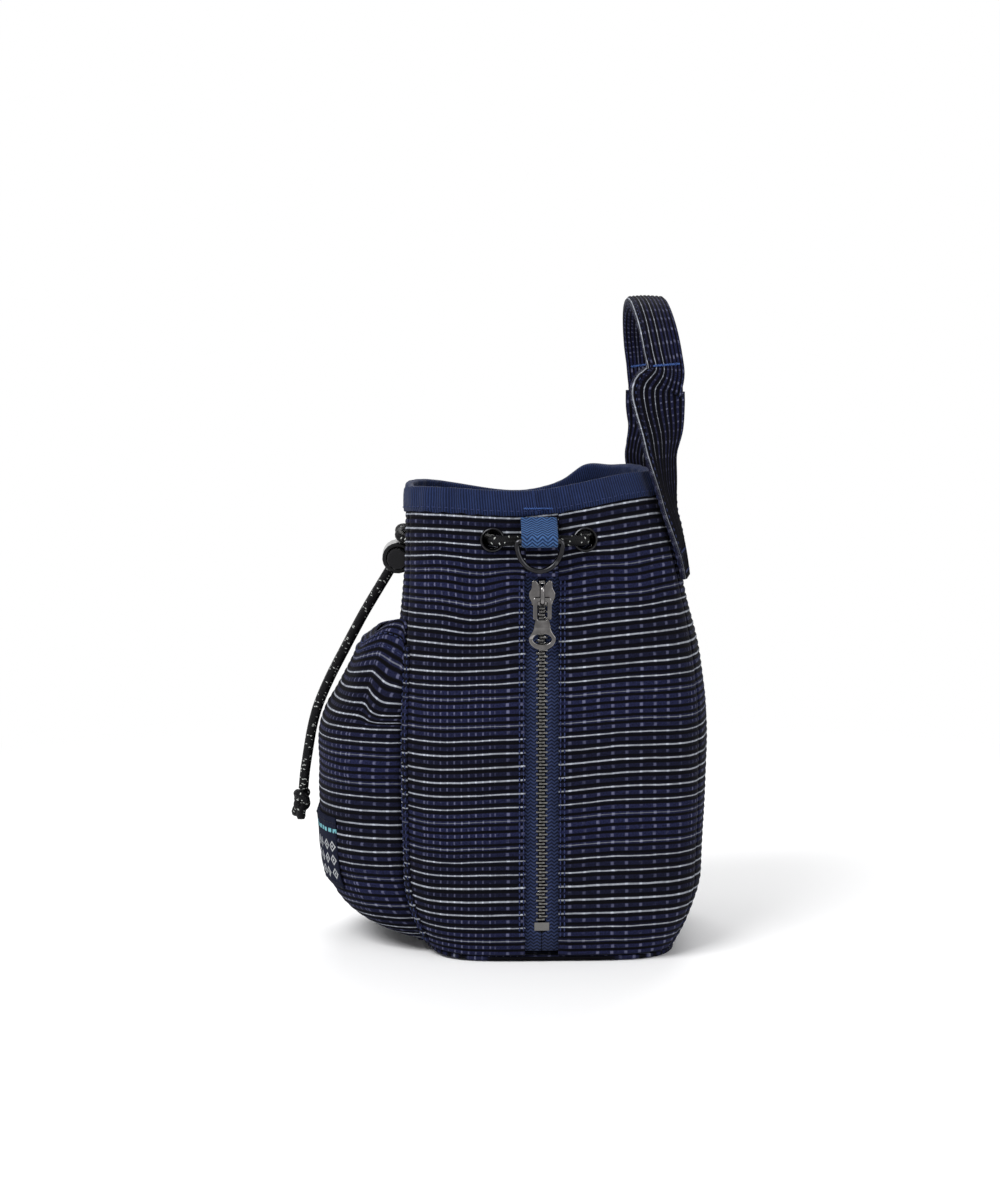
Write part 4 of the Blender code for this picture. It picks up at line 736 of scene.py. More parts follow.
def foldDepth(phi, z, fine):
    p = pouch
    out = p["gatherDepth"] * narrowing(z) ** 2 * np.cos(p["gatherCount"] * phi)
    front, back = away(phi, -math.pi / 2), away(phi, math.pi / 2)
    pull = eased((z - p["recessStart"]) / (p["recessFull"] - p["recessStart"]))
    out = out - p["frontRecess"] * pull * np.exp(-(front / math.radians(27)) ** 2)
    out = out - p["backRecess"] * pull * np.exp(-(back / math.radians(25)) ** 2)
    for angle, level, across, along, depth, lean in drapes + (creases if fine else ()):
        turn = away(phi, math.radians(angle) + lean * (z - level)) / math.radians(across)
        rise = (z - level) / along
        out = out + depth * np.exp(-turn * turn - rise * rise)
    if fine:
        out = out + 0.00016 * np.sin(23 * phi + 70 * z) * np.sin(95 * z + 5 * phi)
        out = out + 0.00035 * narrowing(z) * np.sin(31 * phi + 1.3 * np.sin(60 * z))
    # the zip, and the row of eyelets and tab above it, keep the near and far sides flat
    tangent = np.tan(np.where(np.abs(np.cos(phi)) < 0.7, 0.5, phi))
    off = np.abs(tangent * halfDepth(z) + centreY(z) - p["tabY"])
    high = eased((z - p["zipTop"]) / (p["press"] * 0.6))
    flat = mixed(p["zipOpening"] / 2, p["eyeletSpread"] / 2, high) + p["press"] * 0.7
    pressed = eased((off - flat) / p["press"])
    return out * np.where(np.abs(np.cos(phi)) < 0.7, 1.0, pressed)


# where the weave wanders up or down over the surface: angle, level, spread in degrees, rise, amount
drifts = (
    (-46, 0.080, 24.0, 0.060, -0.0032), (-12, 0.146, 8.0, 0.011, 0.0020), (-25, 0.138, 9.0, 0.014, -0.0022),
    (-36, 0.156, 9.0, 0.011, 0.0012), (-9, 0.120, 9.0, 0.016, 0.0012), (16, 0.158, 9.0, 0.009, 0.0011),
    (34, 0.150, 10.0, 0.012, -0.0012), (22, 0.060, 15.0, 0.030, 0.0012), (46, 0.100, 14.0, 0.030, -0.0015),
    (90, 0.100, 24.0, 0.030, 0.0016), (150, 0.070, 15.0, 0.030, -0.0014), (200, 0.110, 15.0, 0.030, 0.0014),
    (-80, 0.150, 20.0, 0.020, -0.0014),
)


def weaveDrift(phi, z, low):
    out = 0.0
    for angle, level, across, along, amount in drifts:
        turn = away(phi, math.radians(angle)) / math.radians(across)
        out = out + amount * np.exp(-turn * turn - ((z - level) / along) ** 2)
    share = (z - low) / (pouch["height"] - low)
    return out * np.clip(share * 14, 0, 1) * np.clip((1 - share) * 14, 0, 1)


def plainNormal(phi, z):
    step = 1e-3
    along = plainPoint(phi + step, z) - plainPoint(phi - step, z)
    up = plainPoint(phi, z + step / 4) - plainPoint(phi, z - step / 4)
    return unit(np.cross(along, up))


def clothPoint(phi, z, fine=False):
    point = plainPoint(phi, z) + plainNormal(phi, z) * foldDepth(phi, z, fine)[..., None]
    point[..., 2] = z
    return point


def clothNormal(phi, z, fine=False):
    step = 2e-3
    along = clothPoint(phi + step, z, fine) - clothPoint(phi - step, z, fine)
    up = clothPoint(phi, z + step / 4, fine) - clothPoint(phi, z - step / 4, fine)
    return unit(np.cross(along, up))


def onCloth(phi, z, out=0.0, fine=False):
    phi, z = np.broadcast_arrays(np.asarray(phi, float), np.asarray(z, float))
    point = clothPoint(phi, z, fine)
    lift = np.broadcast_to(np.asarray(out, float), phi.shape)[..., None]
    return point + clothNormal(phi, z, fine) * lift


def rimLevel(phi):
    levels = np.array(pouch["rimLevels"])
    share = (np.asarray(phi, float) / (2 * math.pi)) % 1.0 * len(levels)
    first = np.floor(share).astype(int)
    t = share - first
    a, b, c, d = (levels[(first + k) % len(levels)] for k in (-1, 0, 1, 2))
    offset = away(np.asarray(phi, float), math.radians(151)) / math.radians(8)
    hump = pouch["rimHump"] * np.exp(-offset ** 2)
    return pouch["height"] + hump + 0.5 * (2 * b + (c - a) * t + (2 * a - 5 * b + 4 * c - d) * t * t
                                    + (3 * b - a - 3 * c + d) * t ** 3)


def floorLevel(y):
    p = pouch
    return p["frontLift"] * np.maximum(0.0, (-y - p["liftStart"]) / (p["baseDepth"] / 2 - p["liftStart"])) ** 2


def panelFoot(phi):
    level = np.full(np.shape(phi), pouch["baseThickness"] + pouch["seamGap"])
    return level + floorLevel(clothPoint(phi, level)[..., 1])


def angleAt(y, z, far=False):
    turn = np.arctan((y - centreY(z)) / halfDepth(z))
    return math.pi - turn if far else turn


def seam(angle, side):
    return lambda z: angle + side * pouch["seamGap"] / 2 / halfDepth(z) * 1.3


def zipEdge(offset):
    return lambda z: angleAt(pouch["zipY"] + offset, z)


# the body panels, each a fine ribbed sheet over its plain CAD solid

panelFinish = {"columnWidth": 0.0020, "ribSteps": (0.0, 0.16, 0.5, 0.84), "edgePress": 0.0035}


def ribLift(v):
    t = (v / cloth["ribPitch"]) % 1.0
    return cloth["ribHeight"] * (1 - np.abs(2 * t - 1) ** 2.2) - 0.0001


def panelRows(low, high, pitch):
    steps = panelFinish["ribSteps"]
    count = int(high / pitch) + 2
    rows = np.array([(k + s) * pitch for k in range(count) for s in steps])
    rows = rows[(rows > low + 0.0004) & (rows < high - 0.0004)]
    return np.concatenate([[low], rows, [high]])


def bodyPanel(node, left, right, width, anchor="left", bottom=None):
    height = pouch["height"]
    lowest = 0.0 if bottom is None else bottom
    rows = panelRows(lowest, height, cloth["ribPitch"])
    columns = max(3, int(width / panelFinish["columnWidth"]))
    across = np.linspace(0, 1, columns + 1)
    z = np.broadcast_to(rows[:, None], (len(rows), columns + 1))
    phi = mixed(left(z), right(z), across[None])
    foot = panelFoot(phi) if bottom is None else np.full(phi.shape, lowest)
    top = rimLevel(phi)
    level = mixed(foot, top, (z - lowest) / (height - lowest))
    level = level + weaveDrift(phi, level, lowest)
    phi = mixed(left(level), right(level), across[None])
    points = onCloth(phi, level, 0.0, True)
    walked = acrossRows(points)
    total = walked[:, -1:]
    if anchor == "right":
        u = walked - total
    elif anchor == "middle":
        u = walked - total / 2
    else:
        u = walked
    near = np.minimum(walked, total - walked)
    press = mixed(0.35, 1.0, eased(near / panelFinish["edgePress"]))
    lift = ribLift(z) * press - 0.00025 * (1 - press)
    points = onCloth(phi, level, lift, True)
    weave = np.stack([u + 0.2, z], axis=-1)
    made = gridPiece("cloth_" + node, points, looks["cloth"], weave)
    thicken(made, cloth["thickness"])
    settle(made, "ribbed_cloth", "pouch", node)
    return made


def makePanels():
    half, gap, corner = pouch["zipOpening"] / 2, pouch["seamGap"], pouch["seamAngle"]
    back, front = math.pi - corner, math.pi + corner
    made = {}
    made["side_panel_front_strip"] = bodyPanel(
        "side_panel_front_strip", seam(-corner, 1), zipEdge(-half), 0.062, "right")
    made["zip_top_patch"] = bodyPanel(
        "zip_top_patch", zipEdge(-half + gap), zipEdge(half - gap), 0.012, "middle", pouch["zipTop"] + gap)
    made["side_panel_rear_strip"] = bodyPanel(
        "side_panel_rear_strip", zipEdge(half), seam(corner, -1), 0.070)
    made["back_panel"] = bodyPanel("back_panel", seam(corner, 1), seam(back, -1), 0.092, "middle")
    made["side_panel_far"] = bodyPanel("side_panel_far", seam(back, 1), seam(front, -1), 0.130, "middle")
    made["front_panel"] = bodyPanel(
        "front_panel", seam(front, 1), seam(2 * math.pi - corner, -1), 0.092, "middle")
    return made


panels = makePanels()
say("body panels")


# the strip that closes the seam beside the pocket, stitched along both edges

seamStrip = {"width": 0.0042, "low": 0.006, "high": 0.1235, "lift": 0.0007}


def makeSeamStrip():
    rows = panelRows(seamStrip["low"], seamStrip["high"], cloth["ribPitch"])
    for side, corner in ((1, -pouch["seamAngle"]), (-1, math.pi + pouch["seamAngle"])):
        across = np.linspace(0, 1, 9)
        start = seam(corner, side)(rows)
        width = side * seamStrip["width"] / (halfDepth(rows) * 1.28)
        phi = start[:, None] + width[:, None] * across[None]
        z = np.broadcast_to(rows[:, None], phi.shape)
        edge = np.minimum(across, 1 - across)[None]
        lift = cloth["ribHeight"] + seamStrip["lift"] * eased(edge / 0.22) + 0.4 * ribLift(z)
        points = onCloth(phi, z, lift, True)
        weave = np.stack([side * across[None] * seamStrip["width"] + 0.3 + 0 * z, z + 0.00275], axis=-1)
        made = gridPiece("seamStrip", points if side > 0 else points[:, ::-1], looks["cloth"],
                         weave if side > 0 else weave[:, ::-1])
        thicken(made, 0.0008)
        settle(made, "ribbed_cloth", "pouch")
        for share in (0.2, 0.8):
            turn = start + width * share
            line = onCloth(turn, rows, cloth["ribHeight"] * 1.2 + seamStrip["lift"], True)
            sewn = stitches("seamStitches", line, clothNormal(turn, rows), looks["navyThread"],
                            0.0026, 0.7, 0.00026)
            settle(sewn, "ribbed_cloth", "pouch")


makeSeamStrip()


# the base

def makeBase():
    spokes, rings = 120, 14
    turn = np.linspace(0, 2 * math.pi, spokes, endpoint=False)
    rim = clothPoint(turn, np.full(spokes, pouch["baseThickness"] + pouch["seamGap"]))
    share = np.linspace(0.002, 1.0, rings)[:, None]
    x, y = rim[None, :, 0] * share, rim[None, :, 1] * share
    low = floorLevel(y)
    points = np.stack([x, y, low + 0.00002], axis=-1)
    weave = np.stack([y + 0.2, x + 0.2], axis=-1)
    # the map closes on itself because it is the level plan of the sheet
    index = np.arange(rings * spokes).reshape(rings, spokes)
    index = np.concatenate([index, index[:, :1]], axis=1)
    quads = np.stack([index[:-1, :-1], index[1:, :-1], index[1:, 1:], index[:-1, 1:]], axis=-1).reshape(-1, 4)
    mesh = bpy.data.meshes.new("baseCloth")
    mesh.from_pydata(points.reshape(-1, 3).tolist(), [], quads.tolist() + [index[0, :spokes].tolist()])
    layer = mesh.uv_layers.new(name="weave")
    flat = weave.reshape(-1, 2)
    for loop in mesh.loops:
        layer.data[loop.index].uv = flat[loop.vertex_index]
    mesh.materials.append(looks["cloth"])
    mesh.shade_smooth()
    base = linked("baseCloth", mesh)
    thicken(base, pouch["baseThickness"] - 0.0001, 1.0)
    settle(base, "ribbed_cloth", "pouch", "base_panel")


makeBase()
say("base")


# the binding folded over the mouth

binding = {"height": 0.0085, "wall": 0.0009, "pucker": 0.00080, "puckerPitch": 0.0072, "columns": 520,
           "stitchRise": 0.0017, "stitchPitch": 0.0026}


def makeBinding():
    gap, wall, drop = pouch["seamGap"], binding["wall"], binding["height"]
    thick = pouch["clothThickness"]
    inner, over = thick + gap, gap + wall
    phi = np.linspace(0, 2 * math.pi, binding["columns"], endpoint=False)
    top = rimLevel(phi)
    around = onCloth(phi, top)
    step = np.linalg.norm(np.roll(around, -1, axis=0) - around, axis=1)
    walked = np.concatenate([[0], np.cumsum(step)[:-1]])
    # outline: (stand-off, height over the panels' edge, share of pucker)
    outline = [(gap + 0.0002, -drop, 1.0), (gap + wall, -drop + 0.0002, 1.3),
               (gap + wall + 0.0001, -drop * 0.78, 0.2), (gap + wall + 0.0003, -drop * 0.5, 0.9),
               (gap + wall + 0.0003, -drop * 0.2, 0.9),
               (gap + wall, over * 0.3, 0.4), (gap + wall * 0.6, over * 0.85, 0.3), (-thick / 2, over * 1.1, 0.2),
               (-inner - wall * 0.6, over * 0.85, 0.3), (-inner - wall, over * 0.3, 0.4),
               (-inner - wall, -drop * 0.5, 0.4), (-inner - wall, -drop, 0.6), (-inner, -drop, 0.0),
               (-inner, -drop * 0.3, 0.0), (gap, -drop * 0.3, 0.0), (gap, -drop, 0.0)]
    wave = np.cos(walked * 2 * math.pi / binding["puckerPitch"] + 2.2 * np.sin(walked * 71))
    wave = wave * (0.55 + 0.45 * np.sin(walked * 113 + 1.0)) - 0.3
    rows = []
    for out, rise, share in outline:
        lift = out + np.sign(out + 1e-9) * binding["pucker"] * share * wave
        level = top + min(rise, 0.0)
        point = onCloth(phi, level, lift)
        point[:, 2] += max(rise, 0.0) + 0.00025 * wave * (1 if rise < -drop * 0.9 else 0)
        rows.append(point)
    points = np.array(rows).transpose(1, 0, 2)
    lengths = distances(np.array(outline)[:, :2])
    weave = np.stack(np.broadcast_arrays(walked[:, None], lengths[None, :]), axis=-1)
    points = np.concatenate([points, points[:1]])
    weave = np.concatenate([weave, weave[-1:] + [[step[-1], 0]]])
    made = gridPiece("rimBinding", points, looks["binding"], weave, closed=True)
    settle(made, "binding", "pouch", "rim_binding")
    level = top - drop + binding["stitchRise"]
    line = onCloth(phi, level, gap + wall + 0.00012 + binding["pucker"] * 0.3 * wave)
    line, normal = np.vstack([line, line[:1]]), clothNormal(phi, level)
    sewn = stitches("bindingStitches", line, np.vstack([normal, normal[:1]]), looks["navyThread"],
                    binding["stitchPitch"])
    settle(sewn, "binding", "pouch")


makeBinding()
say("binding")


# the front pocket

pocket = {
    "halfWidth": 0.0425, "flare": 2.5, "top": 0.124, "bottom": 0.0055, "mitreFoot": 0.085, "mitreDrop": 0.0055,
    "profile": ((0.0035, 0.0000), (0.0125, 0.0010), (0.0212, 0.0050), (0.0266, 0.0120), (0.0288, 0.0230),
                (0.0298, 0.0400), (0.0296, 0.0740), (0.0272, 0.0860), (0.0222, 0.0950), (0.0174, 0.1040),
                (0.0124, 0.1135), (0.0066, 0.1185)),
    "columns": 96, "crease": 0.0020, "gather": 0.0011, "closeFoot": 0.098, "cornerRise": 0.0095,
    # each gather: angle round the pocket, level, half width, half height, share of the depth
    "gathers": (
        (0.45, 0.075, 0.30, 0.0040, -1.0), (0.60, 0.066, 0.40, 0.0045, 0.9), (0.40, 0.056, 0.30, 0.0040, -0.8),
        (0.95, 0.083, 0.35, 0.0050, 0.6), (1.3, 0.070, 0.45, 0.0060, -0.5), (2.6, 0.072, 0.35, 0.0050, -0.9),
        (2.4, 0.060, 0.40, 0.0050, 0.8), (1.9, 0.045, 0.5, 0.0070, 0.5), (0.5, 0.035, 0.35, 0.0050, 0.6),
        (0.8, 0.022, 0.45, 0.0045, -0.7), (2.5, 0.025, 0.45, 0.0050, -0.6)),
}


def frontY(x, z):
    n = mixed(pouch["baseSquareness"], pouch["rimSquareness"], z / pouch["height"])
    share = np.minimum(1.0, np.abs(x) / halfWidth(z))
    return centreY(z) - halfDepth(z) * (1 - share ** n) ** (1 / n)


def pocketLine(spacing):
    route = [(out, 0.0, pocket["bottom"] + rise) for out, rise in pocket["profile"]]
    return smoothLine(route, spacing)


def pocketPoint(across, stand, level):
    p = pocket
    stand = np.maximum(stand, 0.0002)
    shape = 2 / p["flare"]
    share = np.abs(np.cos(across)) ** shape
    x = p["halfWidth"] * np.copysign(share, np.cos(across))
    swell = np.maximum(np.sin(across), 0.0) ** shape
    # the mouth closes on to the body towards its two top corners
    corner = eased((level - p["closeFoot"]) / (p["top"] - p["closeFoot"]))
    swell = swell * mixed(1.0, eased((np.sin(across) - 0.10) / 0.75), corner)
    rise = np.maximum(0.0, (level - p["bottom"] - p["mitreFoot"]) / (p["top"] - p["bottom"] - p["mitreFoot"]))
    drop = p["mitreDrop"] * 4 * rise * np.maximum(0, 1 - rise) * eased((share - 0.84) / 0.14)
    z = level - drop + p["cornerRise"] * corner * np.exp(-((across - 0.38) / 0.62) ** 2)
    y = frontY(x, z) - pouch["seamGap"] - stand * swell
    return np.stack([x, y, z], axis=-1)


def pocketNormal(across, stand, level):
    d = 0.01
    a = np.clip(across, 0.03, math.pi - 0.03)
    along = pocketPoint(a + d, stand, level) - pocketPoint(a - d, stand, level)
    return unit(np.stack([-along[..., 1], along[..., 0], 0 * along[..., 0]], axis=-1))


def pocketCreases(across, level):
    # the mitre crease at each top corner, and soft gathers under it
    out = 0.0
    for centre, side in ((0.55, 1), (math.pi - 0.55, -1)):
        lean = side * (level - 0.098) * 12.0
        valley = np.exp(-((across - centre - lean) / 0.10) ** 2) * np.exp(-((level - 0.100) / 0.012) ** 2)
        out = out - pocket["crease"] * valley
    for centre, height, wide, tall, depth in pocket["gathers"]:
        rise = (level - height - 0.006 * np.sin(2 * across)) / tall
        out = out + pocket["gather"] * depth * np.exp(-((across - centre) / wide) ** 2 - rise ** 2)
    return out


def makePocket():
    line = pocketLine(0.0004)
    walked = distances(line)
    rows = panelRows(0.0, walked[-1], cloth["ribPitch"])
    stand = np.interp(rows, walked, line[:, 0])[:, None]
    level = np.interp(rows, walked, line[:, 2])[:, None]
    across = np.linspace(0, math.pi, pocket["columns"] + 1)[None]
    across = across + 0 * level
    stand, level = stand + 0 * across, level + 0 * across
    ends = np.sin(across)
    press = mixed(0.3, 1.0, eased(ends / 0.18)) * mixed(0.4, 1.0, eased((walked[-1] - rows[:, None]) / 0.004))
    lift = (ribLift(rows[:, None]) + pocketCreases(across, level)) * press
    points = pocketPoint(across, stand, level) + pocketNormal(across, stand, level) * lift[..., None]
    u = acrossRows(points)
    weave = np.stack([u - u[:, -1:] / 2 + 0.2, rows[:, None] + 0.0165 + 0 * u], axis=-1)
    made = gridPiece("cloth_front_pocket", points, looks["cloth"], weave)
    thicken(made, cloth["thickness"], 1.0)
    settle(made, "ribbed_cloth", "pouch", "front_pocket")
    # a doubled hem along the mouth, held by a row of stitches
    a = np.linspace(0.12, math.pi - 0.12, 220)
    for k, low in enumerate((0.0045, 0.0005)):
        at = walked[-1] - 0.006 - low
        s, z = np.interp(at, walked, line[:, 0]), np.interp(at, walked, line[:, 2])
        s, z = np.full(a.shape, s), np.full(a.shape, z)
        normal = pocketNormal(a, s, z)
        seam = pocketPoint(a, s, z) + normal * 0.0006
        sewn = stitches("pocketHem_%d" % k, seam, normal, looks["navyThread"])
        settle(sewn, "ribbed_cloth", "pouch")


makePocket()
say("pocket")


# the woven label round the pocket's corner, with a plain stepped motif

label = {"level": 0.0378, "height": 0.029, "start": math.radians(47), "end": math.radians(92), "thickness": 0.0007,
         "ground": (0.010, 0.012, 0.026), "line": (0.20, 0.50, 0.56), "pale": (0.62, 0.64, 0.66)}


def labelLook():
    n = Nodes("wovenLabel")
    u, v = n.map()
    threads = n.math("SINE", n.math("MULTIPLY", u, 2 * math.pi / 0.00034))
    picks = n.math("SINE", n.math("MULTIPLY", v, 2 * math.pi / 0.00028))
    line = n.without(n.step(n.math("ABSOLUTE", n.math("SUBTRACT", v, 0.0236)), 0.0007, 0.0009))
    line = n.math("MULTIPLY", line, n.step(n.math("SINE", n.math("MULTIPLY", u, 1800.0)), -0.55, -0.35))
    # rows of small diamonds in the lower half
    du = n.math("ABSOLUTE", n.math("SUBTRACT", n.math("FRACT", n.math("DIVIDE", u, 0.0056)), 0.5))
    rows = n.math("FRACT", n.math("DIVIDE", n.math("SUBTRACT", v, 0.0032), 0.0056))
    dv = n.math("ABSOLUTE", n.math("SUBTRACT", rows, 0.5))
    reach = n.math("ADD", du, dv)
    ring = n.without(n.step(n.math("ABSOLUTE", n.math("SUBTRACT", reach, 0.34)), 0.05, 0.08))
    dot = n.without(n.step(reach, 0.10, 0.14))
    inside = n.math("MULTIPLY", n.step(v, 0.0032, 0.0033), n.without(n.step(v, 0.0199, 0.0200)))
    motif = n.math("MULTIPLY", n.math("MAXIMUM", ring, dot), inside)
    tint = n.mix(line, label["ground"], label["line"])
    tint = n.mix(n.math("MULTIPLY", motif, 0.85), tint, label["pale"])
    shade = n.math("MULTIPLY_ADD", n.math("MULTIPLY", threads, picks), 0.12, 0.12)
    tint = n.mix(shade, tint, label["ground"])
    n.bump(n.math("ADD", n.math("ADD", threads, picks), n.math("MULTIPLY", motif, 2.0)), 0.00006, 0.8)
    n.shine(0.04)
    return n.finish(tint, 0.80)


def makeLabel():
    columns, rows = 60, 26
    line = pocketLine(0.0004)
    order = np.argsort(line[:, 2])
    height = np.linspace(0, label["height"], rows + 1)[:, None] + np.zeros((1, columns + 1))
    level = label["level"] - label["height"] / 2 + height
    across = np.linspace(label["start"], label["end"], columns + 1)[None] + 0 * level
    stand = np.interp(level, line[order, 2], line[order, 0])
    base = pocketPoint(across, stand, level)
    normal = pocketNormal(across, stand, level)
    edge = np.minimum(np.minimum(height, label["height"] - height) / 0.0015, 1.0)
    side = np.minimum(np.arange(columns + 1), columns - np.arange(columns + 1))[None] / 2.0
    press = eased(np.minimum(edge, side))
    buckle = 0.0002 * np.sin(across * 26) * np.sin(height * 300)
    points = base + normal * (0.0009 + 0.00055 * press + buckle * press)[..., None]
    weave = np.stack([acrossRows(points), height], axis=-1)
    made = gridPiece("wovenLabelPatch", points, labelLook(), weave)
    thicken(made, label["thickness"], 1.0)
    settle(made, "label", "pouch", "label_patch")
    inset = [points[2:-2, 1], points[-3, 1:-1], points[2:-2, -2][::-1], points[2, 1:-1][::-1]]
    normals = [normal[2:-2, 1], normal[-3, 1:-1], normal[2:-2, -2][::-1], normal[2, 1:-1][::-1]]
    ring, out = np.vstack(inset), np.vstack(normals)
    sewn = stitches("labelStitches", ring + out * 0.0001, out, looks["blackThread"], 0.0022, radius=0.00018)
    settle(sewn, "label", "pouch")


makeLabel()
say("label")


# the handle: a strap of the same cloth, flat at its feet and folded in two for the grip

handle = {
    "top": 0.260, "strapWidth": 0.027, "gripWidth": 0.0152, "strapThickness": 0.0024, "gripThickness": 0.0046,
    "seat": 0.0006, "span": 0.072, "foot": 0.149, "lean": 0.004, "rimLift": 0.0026, "rimTwist": 27,
    "stations": ((0.10, 0.0018, 0.0033, 32, 0.00, 0.0), (0.24, 0.0018, 0.0061, 44, 0.00, 0.0),
                 (0.38, 0.0006, 0.0068, 54, 0.00, 0.0), (0.48, 0.0000, 0.0070, 60, 0.05, 0.1),
                 (0.53, 0.0014, 0.0050, 70, 0.50, 0.5), (0.60, 0.0032, 0.0028, 84, 1.00, 1.0)),
    "rings": 300, "ribs": 0.00026, "barLevel": 0.2325, "footBars": (0.1520, 0.1600),
}


def backAngle(x, level):
    low, high = math.radians(30), math.radians(150)
    for _ in range(22):
        middle = (low + high) / 2
        if clothPoint(np.array([middle]), np.array([level]))[0, 0] > x:
            low = middle
        else:
            high = middle
    return (low + high) / 2


def handleLeg(side):
    h, x = handle, handle["span"] / 2
    stand = h["strapThickness"] / 2 + h["seat"]
    under = pouch["height"] - binding["height"] - h["strapThickness"]
    leg = []

    def spotOn(phi, level, out):
        step = math.radians(5)
        spot = onCloth(np.array([phi]), np.array([level]), out)[0]
        along = clothPoint(np.array([phi + step]), np.array([level]))[0] - clothPoint(
            np.array([phi - step]), np.array([level]))[0]
        along[2] = 0.0
        return spot, unit(along)

    for share in (0.0, 0.35, 0.7, 1.0):
        level = mixed(h["foot"], under, share)
        spot, along = spotOn(backAngle(side * x, level), level, stand + binding["wall"] * share)
        leg.append((spot, along, h["strapWidth"] * mixed(0.55, 0.92, share), h["strapThickness"]))
    phi = backAngle(side * x, pouch["height"])
    rim, along = spotOn(phi, float(rimLevel(phi)), stand + binding["wall"] + pouch["seamGap"])
    lifted = rim + np.array([0.0, h["rimLift"], 0.0])
    turn = math.radians(h["rimTwist"])
    leg.append((lifted, np.array([-math.cos(turn), side * math.sin(turn), 0.0]), h["strapWidth"] * 0.97,
                h["strapThickness"]))
    for share, nearShift, farShift, twist, fold, thick in h["stations"]:
        level = mixed(rim[2], h["top"] - h["gripThickness"] / 2, share)
        turn = math.radians(twist)
        shift = nearShift if side > 0 else farShift
        leg.append((np.array([side * x, rim[1] + shift, level]),
                    np.array([-math.cos(turn), side * math.sin(turn), 0.0]),
                    mixed(h["strapWidth"], h["gripWidth"], fold),
                    mixed(h["strapThickness"], h["gripThickness"], thick)))
    return leg


def handleStations():
    near, far = handleLeg(1), handleLeg(-1)
    start, end, arch = near[-1][0], far[-1][0], []
    peak = handle["top"] - handle["gripThickness"] / 2
    for degree in range(18, 180, 18):
        a = math.radians(degree)
        y = mixed(start[1], end[1], (1 - math.cos(a)) / 2) - handle["lean"] * math.sin(a)
        arch.append((np.array([handle["span"] / 2 * math.cos(a), y, start[2] + (peak - start[2]) * math.sin(a)]),
                     np.array([0.0, 1.0, 0.0]), handle["gripWidth"], handle["gripThickness"]))
    return near + arch + [(s, -a, w, t) for s, a, w, t in reversed(far)]


def smoothValues(values, count):
    knots = np.array(values, float)
    knots = np.vstack([2 * knots[0] - knots[1], knots, 2 * knots[-1] - knots[-2]])
    at = np.linspace(0, len(values) - 1 - 1e-9, count)
    first = at.astype(int)
    t = (at - first)[:, None]
    a, b, c, d = knots[first], knots[first + 1], knots[first + 2], knots[first + 3]
    return 0.5 * (2 * b + (c - a) * t + (2 * a - 5 * b + 4 * c - d) * t * t
                  + (3 * b - a - 3 * c + d) * t ** 3)


